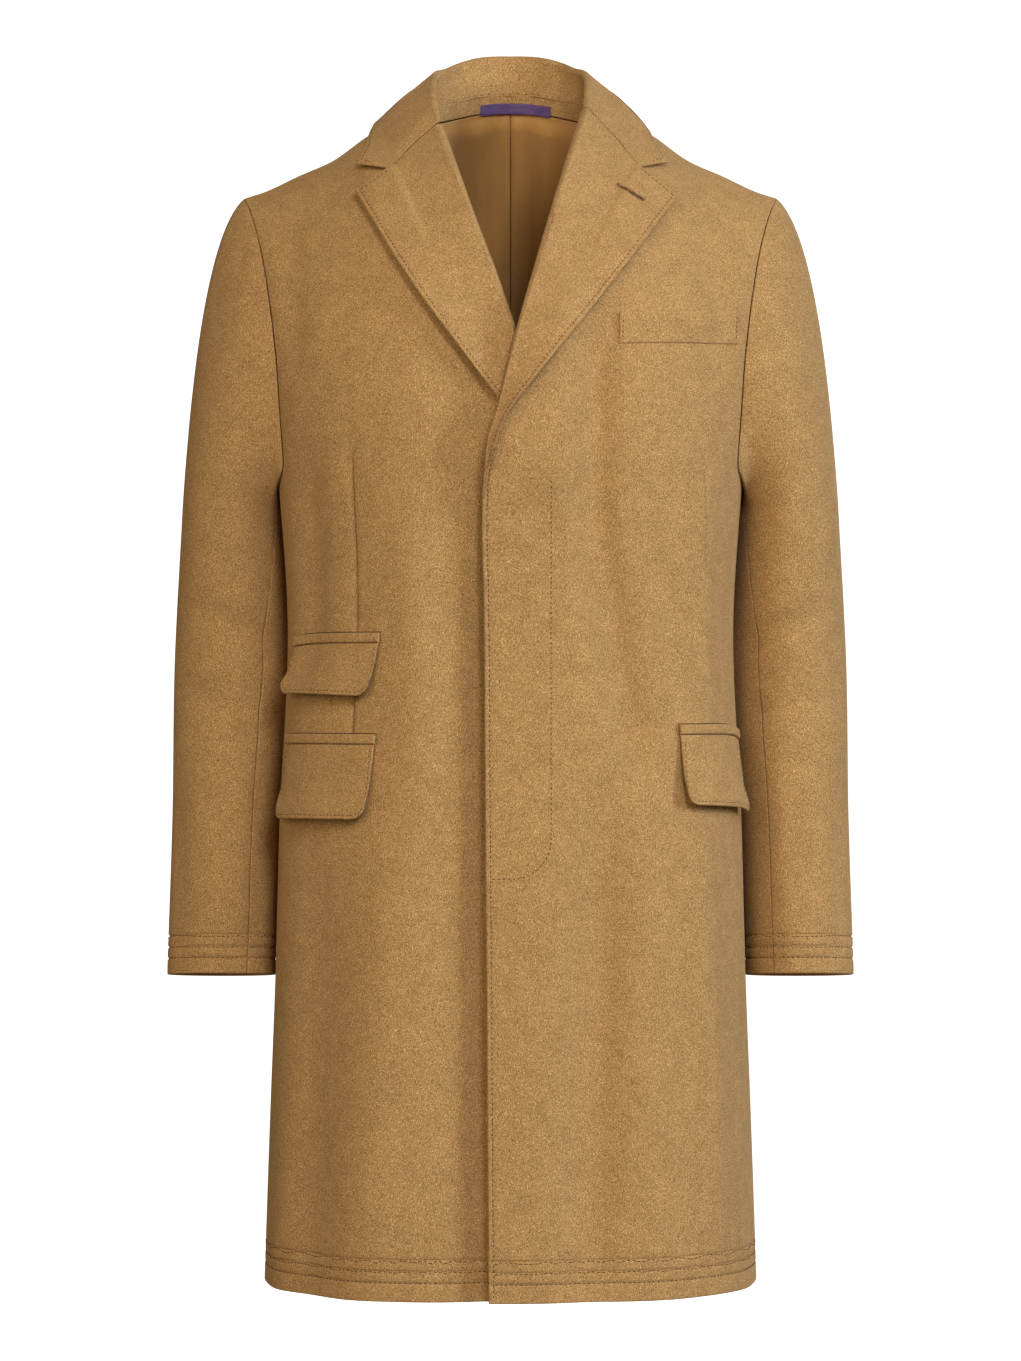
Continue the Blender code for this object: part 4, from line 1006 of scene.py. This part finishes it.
def lapelPlaces(shape, rows, across):
    # places (x, z): rows from the break to the gorge, across from the roll line to the outer edge
    marks = np.linspace(0.0, 1.0, len(shape["rollZ"]))
    roll = np.stack([softCurve(marks, shape[key], rows) for key in ("rollX", "rollZ")], -1)
    edge = np.stack([softCurve(marks, shape[key], rows) for key in ("edgeX", "edgeZ")], -1)
    grid = roll[:, None] + (edge - roll)[:, None] * across[None, :, None]
    gorge = cornerLine(across, roll[-1], shape["notch"], shape["tip"])
    return grid + (gorge - grid[-1]) * ramp(lapels["gorgeStart"], 1.0, rows)[:, None, None]


def lapelSurface(sideName, rows, across):
    # the turned-out face on the front's points, its edge standing off, its top brought to the gorge seam
    shape = lapels[sideName]
    grid = lapelPlaces(shape, rows, across)
    phi, level = bodyPlace(grid[..., 0], grid[..., 1])
    stand = shape["off"] * ramp(shape["offFrom"], shape["offFull"], rows)
    stand = stand * (1 - lapels["calm"] * ramp(lapels["calmFrom"], 1.0, rows))
    lift = cloth["lie"] + cloth["rollLift"] + cloth["turned"] + stand[:, None] * across[None, :] ** 2
    face, normal = frontSurface(phi, level, fronts[sideName], lift)
    meet = collarCut["foldRadius"] + lapels["rollIn"] - lapels["rollWide"]
    sewnTo = gorgeLine(sideName, across, meet) - face[-1]
    notch = lapels["notchShare"]
    sewnTo = sewnTo * (1 - ramp(notch - lapels["sewBlend"], notch, across))[:, None]
    face = face + sewnTo * ramp(lapels["sewFrom"], 1.0, rows)[:, None, None]
    away = unit(face[lapels["slitRow"]] - face[-1]) * cloth["slit"]
    return face + away * ramp(lapels["slitFrom"], 1.0, rows)[:, None, None], normal


def makeLapel(sideName):
    # the turned-out face, with a half-round roll at its inner edge that tucks back under the front
    rows = closeShares(lapels["length"], lapels["step"])
    across = closeShares(lapels["width"], lapels["step"])
    face, normal = lapelSurface(sideName, rows, across)
    full = ramp(0.0, lapels["rollFull"], runAlong(face, 1)[:, -1])[:, None]
    keep = across * lapels["width"] > lapels["rollIn"] + lapels["rollPast"]
    inward = unit(face[:, 0] - face[:, lapels["rollColumn"]])
    n = normal[:, 0]
    turn = np.linspace(halfTurn, 0.0, lapels["rollPoints"])[None, :]
    tuck = np.linspace(lapels["tuck"], lapels["tuckEnd"], lapels["tuckPoints"])[None, :] * full
    foot = face[:, 0] - inward * (lapels["rollIn"] * full)
    radius = lapels["rollDepth"] / 2 * full + lapels["rollLeast"]
    centre = (foot - n * radius)[:, None]
    curl = centre + n[:, None] * (radius * np.cos(turn))[..., None] + inward[:, None] * (
        lapels["rollWide"] * full * np.sin(turn))[..., None]
    curlNormal = unit(n[:, None] * np.cos(turn)[..., None] + inward[:, None] * np.sin(turn)[..., None])
    under = centre - n[:, None] * radius[..., None] - inward[:, None] * tuck[..., None]
    underNormal = -np.repeat(n[:, None], tuck.shape[1], 1)
    whole = np.concatenate([under, curl, face[:, keep]], 1)
    wholeNormal = np.concatenate([underNormal, curlNormal, normal[:, keep]], 1)
    notchColumn = whole.shape[1] - int((across[keep] > lapels["notchShare"]).sum())
    toNotch = runAlong(whole[-1:], 1)[0][notchColumn]
    inset, groove, stop = lapels["inset"], lapels["groove"], lapels["sewnTo"]
    sewn = (sewnRow("right", inset, groove, lapels["sewnFrom"], stop),
            sewnRow("top", inset, groove * lapels["shallow"], toNotch, stop))
    return clothPiece(f"lapel_{sideName}", whole, wholeNormal, cloth["turned"], lapels["roundEdge"],
                      fronts[sideName]["side"],
                      sewn=sewn)


lapelCloth = {sideName: makeLapel(sideName) for sideName in bothSides}

# Buttonhole in the left lapel: a slit between two rows of close bars; the slit is dark thread bits, painted
# shade of the opening
buttonhole = dict(start=(0.0905, -0.0660), end=(0.1130, -0.0800), bars=22, barLength=0.0024, apart=0.0011,
                  slitShadeLength=0.0022, rows=(0.6, 0.99, 200), across=(0.0, 1.0, 120))


def makeButtonhole():
    # bars across a straight line on the lapel, and dark thread bits along it as painted shade of the slit's
    # opening
    share = np.linspace(0.0, 1.0, buttonhole["bars"])[:, None]
    place = np.array(buttonhole["start"]) * (1 - share) + np.array(buttonhole["end"]) * share
    rows, across = (np.linspace(*buttonhole[key]) for key in ("rows", "across"))
    face, normal = (grid.reshape(-1, 3) for grid in lapelSurface("left", rows, across))
    near = np.argmin(np.linalg.norm(face[None, :, [0, 2]] - place[:, None], axis=-1), axis=1)
    line, up = face[near], normal[near]
    line[:, [0, 2]] = place
    ahead = unit(np.gradient(line, axis=0))
    aside = unit(np.cross(up, ahead))
    barLength, slitShadeLength = (np.full(len(line), buttonhole[key]) for key in ("barLength", "slitShadeLength"))
    bars = [(line + aside * (sign * buttonhole["apart"]), aside, up, barLength) for sign in (-1.0, 1.0)]
    # the last row of bits is the slit: painted shade of the opening
    addStitchAndShadeBits("buttonhole_stitches_and_slit_shade", lapelCloth["left"], bars + [(line, ahead, up, slitShadeLength)])


makeButtonhole()


# Pockets on their own side: a welt at the breast, flaps with jettings at the hip
pockets = dict(
    width=0.105, step=0.0015, roundEdge=0.0015, inset=0.0036, groove=0.0007, shallow=0.7,
    footClear=0.003, topClear=0.004, swing=0.0070, swingCurve=1.15, flareCurve=3, droopCurve=6,
    curl=0.0028, curlFrom=0.65, scallop=0.0007,
    jetHeight=0.0085, jetStep=0.0007, jetEnds=(0.0, 0.0002, 0.0005, 0.0009), jetOverhang=0.007,
    jetThick=0.0036, jetRound=0.0020, jetLift=0.0006,
    # shade line: close dark thread bits along each jetting's top, painted shade of its seam: rise, lift,
    # spacing, bit length
    shadeLine=0.0005, shadeLineLift=0.0012, shadeLineSpacing=0.0022, shadeLineBit=0.0029,
    welt=dict(x=(0.0912, 0.1934), top=(-0.1792, -0.1725), foot=(-0.2053, -0.2015), height=0.030,
              sunk=0.0015, rise=0.0026, inset=0.0030, groove=0.0003, clear=0.004),
    ticket=dict(side="right", x=0.109, end=1.215, z=-0.4565, drop=0.0430, slant=0.0040, corner=0.011,
                lean=0.035, flare=-0.0006, droop=0.0030),
    right=dict(side="right", x=0.113, end=1.262, z=-0.5420, drop=0.0630, slant=-0.0010, corner=0.011,
               lean=0.020, flare=-0.0044, droop=0.0010),
    left=dict(side="left", x=0.142, end=1.350, z=-0.5340, drop=0.0610, slant=-0.0045, corner=0.0085,
              lean=-0.008, flare=-0.0032, droop=0.0050),
)


def makeWelt():
    # a straight strip on the chest, between its top and foot lines
    welt = pockets["welt"]
    columns = closeShares(pockets["width"], pockets["step"])[None, :]
    share = closeShares(welt["height"], pockets["step"])[:, None]
    x, top, foot = (welt[key][0] + (welt[key][1] - welt[key][0]) * columns for key in ("x", "top", "foot"))
    phi, level = bodyPlace(x + 0.0 * share, foot + (top - foot) * share)
    face, normal = frontSurface(phi, level, fronts["left"], welt["sunk"] + welt["rise"] * share)
    sewn = [sewnRow(edge, welt["inset"], welt["groove"], welt["clear"], welt["clear"])
            for edge in ("left", "right")]
    clothPiece("welt_chest", face, normal, cloth["turned"], pockets["roundEdge"],
               sewn=sewn)


def pocketMouth(shape, columns):
    # level of the pocket's mouth, drooping at its outer end
    return shape["z"] - body["chestZ"] - shape["droop"] * columns ** pockets["droopCurve"]


def flapGrid(shape, columns, down):
    # angles and levels of a flap: its foot rounded at both corners and finely scalloped, its sides leaning
    start, _ = bodyPlace(shape["x"], shape["z"])
    mouth = pocketMouth(shape, columns)
    phi = start + (shape["end"] - start) * columns
    run = runAlong(bodySurface(phi, mouth)[None], 1)[0]
    corner = shape["corner"]
    near = np.minimum(np.minimum(run, run[-1] - run), corner)
    liftOff = corner - np.sqrt(np.maximum(corner ** 2 - (corner - near) ** 2, 0.0))
    drop = shape["drop"] - shape["slant"] * (run / run[-1] - 0.5) - liftOff
    drop = drop + pockets["scallop"] * np.abs(np.sin(halfTurn * run / sewing["spacing"]))
    return phi[None, :] + shape["lean"] * down[:, None], mouth[None, :] - drop[None, :] * down[:, None]


def makeFlap(name):
    # the flap swings out towards its foot, more or less at its outer corner, and curls at its foot
    shape = pockets[name]
    half = fronts[shape["side"]]
    columns = closeShares(pockets["width"], pockets["step"])
    down = 1.0 - closeShares(shape["drop"], pockets["step"])
    phi, level = flapGrid(shape, columns, down)
    swing = pockets["swing"] + shape["flare"] * columns[None, :] ** pockets["flareCurve"]
    swing = swing * down[:, None] ** pockets["swingCurve"]
    swing = swing + pockets["curl"] * ramp(pockets["curlFrom"], 1.0, down)[:, None]
    face, normal = frontSurface(phi, level, half, cloth["lie"] + cloth["turned"] + swing)
    inset, groove, clear = pockets["inset"], pockets["groove"], pockets["footClear"]
    sewn = [sewnRow("foot", inset, groove, clear, clear)]
    sewn += [sewnRow(edge, inset, groove * pockets["shallow"], shape["corner"], pockets["topClear"])
             for edge in ("left", "right")]
    clothPiece(f"flap_{name}", face, normal, cloth["turned"], pockets["roundEdge"], half["side"],
               sewn=sewn)


def makeJet(name):
    # the jetting lies above the flap along the mouth; close dark thread bits along its top make a line of
    # painted shade over its seam
    shape = pockets[name]
    half = fronts[shape["side"]]
    start, _ = bodyPlace(shape["x"], shape["z"])
    columns = closeShares(pockets["width"], pockets["step"])
    ends = start - pockets["jetOverhang"], shape["end"] + pockets["jetOverhang"]
    rise = closeSteps(pockets["jetHeight"], pockets["jetStep"], ends=pockets["jetEnds"])
    phi, rise = np.meshgrid(ends[0] + (ends[1] - ends[0]) * columns, rise)
    level = pocketMouth(shape, columns)[None, :] + cloth["seam"] + rise
    face, normal = frontSurface(phi, level, half, cloth["lie"] + pockets["jetThick"] + pockets["jetLift"])
    jet = clothPiece(f"jet_{name}", face, normal, pockets["jetThick"], pockets["jetRound"], half["side"])
    # a dark line of thread bits just above the jetting: painted shade of the seam
    line, up = frontSurface(phi[-1], level[-1] + pockets["shadeLine"], half, pockets["shadeLineLift"])
    along = runAlong(line[None], 1)[0]
    shadeLine = stitchPlaces(mirrored(line, half["side"]), mirrored(up, half["side"]), along,
                         spacing=pockets["shadeLineSpacing"], length=pockets["shadeLineBit"])
    addStitchAndShadeBits(f"jet_{name}_stitches", jet, [shadeLine])


makeWelt()
for pocketName in ("ticket", "right", "left"):
    makeFlap(pocketName)
    makeJet(pocketName)


# Inside of the back neck: wool facing, satin lining with upright ripples, and a plain label;
# the line between facing and lining is an arch
inner = dict(
    arch=0.0154, archDrop=4.10, roundEdge=0.0008, step=0.0035,
    facingHalf=0.070, facingHeight=0.020, facingStep=0.0015, behind=0.0012, seat=0.0018, tilt=0.0030,
    liningHalf=0.112, liningLow=-0.355, liningHeight=0.36, liningGap=0.0006, tuckUp=0.0020,
    ridgeClear=0.001, fullness=0.0060, calm=0.012, seamSlit=0.0002, seamDepth=0.0016, seamWidth=0.0035,
    hangBehind=0.0022, hangLength=0.14, hangFull=0.070, hangNone=0.105,
    seamLow=-0.300, seamSkip=12, seamOut=(0.0, -0.9, -0.44), seamSpacing=0.0026, seamStitch=0.0017,
    labelHalf=0.0312, labelTop=0.0228, labelFoot=0.0134, labelShift=0.0045, labelGap=0.0007,
    labelStep=0.002, labelRound=0.0006,
    ripples=(((-0.030, 0.03), (-0.022, -0.36), 0.008, 0.0055),
             ((-0.052, 0.03), (-0.046, -0.36), 0.010, -0.0050),
             ((-0.013, 0.03), (-0.010, -0.36), 0.007, -0.0035),
             ((0.014, 0.03), (0.012, -0.36), 0.009, -0.0040),
             ((0.036, 0.03), (0.028, -0.36), 0.010, 0.0050),
             ((0.060, 0.03), (0.050, -0.36), 0.010, -0.0045),
             ((0.088, 0.03), (0.082, -0.36), 0.012, 0.0045),
             ((-0.086, 0.03), (-0.080, -0.36), 0.012, 0.0045)),
)


def archLine(x):
    # height of the arch, falling with the square of the distance from the centre
    return inner["arch"] - inner["archDrop"] * x ** 2


def insideBack(x, z, depth):
    # points inside the back at a place (x, z), at a depth under its outer face, and the way into the coat
    phi, level = bodyPlace(x, np.minimum(z, shoulderZ(x) - inner["ridgeClear"]), True)
    normal = bodyNormal(phi, level)
    return bodySurface(phi, level) - normal * np.asarray(depth)[..., None], -normal


def standFoot(x, key):
    # where the foot of the collar's stand lies, at a distance from the centre back
    return softCurve(collarCut["footX"][1:5], collarCut[key][1:5], np.abs(x))


def facingSurface(x, z, lift, aside=0.001):
    # a nearly upright band under the foot of the collar's stand, down to the arch
    top = standFoot(x, "footZ") + inner["behind"]
    share = (z - archLine(x)) / (top - archLine(x))
    y = standFoot(x, "footY") + inner["seat"] + inner["tilt"] * (1 - share)
    slope = (standFoot(x + aside, "footY") - standFoot(x - aside, "footY")) / (2 * aside)
    normal = unit(np.stack(np.broadcast_arrays(slope, -1.0, 0.0), -1))
    return np.stack([x, y, z], -1) + normal * lift, normal


def makeFacing():
    # from the arch up to the stand, across both backs
    x = closeSteps(2 * inner["facingHalf"], inner["step"])[None, :] - inner["facingHalf"]
    share = closeShares(inner["facingHeight"], inner["facingStep"])[:, None]
    top = standFoot(x, "footZ") + inner["behind"]
    face, normal = facingSurface(x + 0.0 * share, archLine(x) + (top - archLine(x)) * share, 0.0)
    clothPiece("neck_facing", face, normal, cloth["lining"], inner["roundEdge"])


def makeLining(sideName):
    # inside of the back moved in by its ripples, with a groove at the centre seam, hanging from the arch
    side = fronts[sideName]["side"]
    x = inner["seamSlit"] + closeSteps(inner["liningHalf"], inner["step"])[None, :]
    top = archLine(x) + inner["tuckUp"]
    share = closeShares(inner["liningHeight"], inner["step"])[:, None]
    z = inner["liningLow"] + (top - inner["liningLow"]) * share
    calm = ramp(0.0, inner["calm"], top - z)
    ripple = (softCreases(side * x + 0.0 * z, z, inner["ripples"]) + inner["fullness"]) * calm
    ripple = ripple - inner["seamDepth"] * np.exp(-(x / inner["seamWidth"]) ** 2) * calm
    under = cloth["wool"] + cloth["lie"] + cloth["lining"]
    face, normal = insideBack(x + 0.0 * z, z, under + inner["liningGap"] - cloth["lining"] * 0.5 + ripple)
    hang = facingSurface(x, archLine(x), 0.0)[0][..., 1] + inner["hangBehind"] - face[-1, :, 1]
    hang = np.minimum(hang, 0.0) * ramp(inner["hangNone"], inner["hangFull"], x)
    face[..., 1] += hang * ramp(top - inner["hangLength"], top, z)
    piece = clothPiece(f"lining_{sideName}", face, normal, cloth["lining"], inner["roundEdge"], side,
                       satin)
    return piece, face[:-inner["seamSkip"], 0] * np.array([0.0, 1.0, 1.0])


def makeLabel():
    # a plain ribbon on the facing, bent as the arch is
    across = closeSteps(2 * inner["labelHalf"], inner["labelStep"])[None, :]
    x = across - inner["labelHalf"] + inner["labelShift"]
    rise = closeSteps(inner["labelTop"] - inner["labelFoot"], inner["labelStep"])[:, None]
    z = inner["labelFoot"] + rise - inner["archDrop"] * x ** 2
    face, normal = facingSurface(x + 0.0 * z, z + 0.0 * x, inner["labelGap"] + cloth["label"])
    clothPiece("label", face, normal, cloth["label"], inner["labelRound"], 1, ribbon)


def sewLiningSeam(piece, line):
    # close stitches down the lining's centre seam, as far down as it shows
    line = line[line[:, 2] > inner["seamLow"]][::-1]
    out = np.repeat([inner["seamOut"]], len(line), 0)
    along = runAlong(line[None], 1)[0]
    places = stitchPlaces(line, out, along, spacing=inner["seamSpacing"], length=inner["seamStitch"])
    addStitchAndShadeBits("lining_seam_stitches", piece, [places])


makeFacing()
linings = {sideName: makeLining(sideName) for sideName in bothSides}
makeLabel()
sewLiningSeam(*linings["left"])


# Plain pale round sweep: floor, cove and wall in one turned curve;
# it shows, and throws no light on the cloth
sweep = dict(floorZ=-1.55, floorHalf=5.0, radius=1.5, top=6.0, middle=0.0004, coveRows=16, sides=96,
             rough=0.9, colour=(0.92, 0.92, 0.92, 1), glow=1.0, glowColour=(1, 1, 1, 1))


def makeSweep():
    # a profile of floor, quarter round and wall, turned about the upright axis, facing inwards
    bend = np.linspace(0.0, quarterTurn, sweep["coveRows"])
    cove = sweep["floorHalf"] + sweep["radius"] * np.sin(bend)
    wall = sweep["floorHalf"] + sweep["radius"]
    out = np.concatenate([[sweep["middle"]], cove, [wall]])[:, None]
    up = np.concatenate([[0.0], sweep["radius"] * (1 - np.cos(bend)), [sweep["top"]]]) + sweep["floorZ"]
    turn = np.linspace(0.0, 2 * halfTurn, sweep["sides"] + 1)[:-1]
    points = np.stack(np.broadcast_arrays(out * np.cos(turn), out * np.sin(turn), up[:, None]), -1)
    index = np.arange(len(out) * sweep["sides"]).reshape(-1, sweep["sides"])
    faces = gridCells(np.concatenate([index, index[:, :1]], 1))
    material, _, shader = newMaterial("paleSweep", sweep["rough"])
    shader.inputs["Base Color"].default_value = sweep["colour"]
    shader.inputs["Emission Color"].default_value = sweep["glowColour"]
    shader.inputs["Emission Strength"].default_value = sweep["glow"]
    piece = newObject("studioSweep", points.reshape(-1, 3), faces, [material])
    piece.visible_diffuse = piece.visible_glossy = piece.visible_shadow = False


def areaLight(name, place, aim, size, power, colour):
    # a square light at a place, turned to face its aim
    light = bpy.data.lights.new(name, "AREA")
    light.energy, light.size, light.color = power, size, colour
    holder = bpy.data.objects.new(name, light)
    holder.location = place
    direction = np.array(aim) - np.array(place)
    holder.rotation_euler = (math.acos(-direction[2] / np.linalg.norm(direction)), 0.0,
                             math.atan2(-direction[0], direction[1]))
    bpy.context.scene.collection.objects.link(holder)


# Four lights round the coat, a faint warm surround, and the camera
studio = dict(
    cameraY=-3.8, cameraZ=-0.488, perPixel=0.00087, pixels=1361, sensor=36.0,
    key=dict(place=(4.3, -2.0, 0.8), aim=(0.0, 0.0, -0.5), size=1.6, power=132.0,
             colour=(0.93, 1.0, 1.04)),
    fill=dict(place=(-1.8, -3.5, 0.4), aim=(0.0, 0.0, -0.5), size=2.0, power=62.0,
              colour=(1.0, 0.81, 0.56)),
    front=dict(place=(0.95, -3.85, 1.25), aim=(0.0, 0.0, -0.4), size=1.15, power=84.0,
               colour=(1.0, 0.95, 0.88)),
    behind=dict(place=(1.2, 3.4, 1.2), aim=(0.0, 0.0, -0.5), size=2.2, power=50.0,
                colour=(1.0, 0.95, 0.88)),
    ambient=0.17, ambientColour=(1.0, 0.78, 0.50, 1),
)


def makeStudio():
    # sweep, lights and surround, and a level camera: its lens is the sensor's width times
    # the camera's distance over the height of the field
    makeSweep()
    for name in ("key", "fill", "front", "behind"):
        areaLight(f"{name}Light", **studio[name])
    world = bpy.data.worlds.new("paleWorld")
    world.use_nodes = True
    world.node_tree.nodes["Background"].inputs["Color"].default_value = studio["ambientColour"]
    world.node_tree.nodes["Background"].inputs["Strength"].default_value = studio["ambient"]
    bpy.context.scene.world = world
    data = bpy.data.cameras.new("camera")
    data.sensor_width = studio["sensor"]
    data.lens = studio["sensor"] * -studio["cameraY"] / (studio["pixels"] * studio["perPixel"])
    camera = bpy.data.objects.new("camera", data)
    camera.location = (0.0, studio["cameraY"], studio["cameraZ"])
    camera.rotation_euler = (quarterTurn, 0.0, 0.0)
    bpy.context.scene.collection.objects.link(camera)
    bpy.context.scene.camera = camera
    bpy.context.scene.view_settings.view_transform = "Standard"


makeStudio()
print("studio ready")
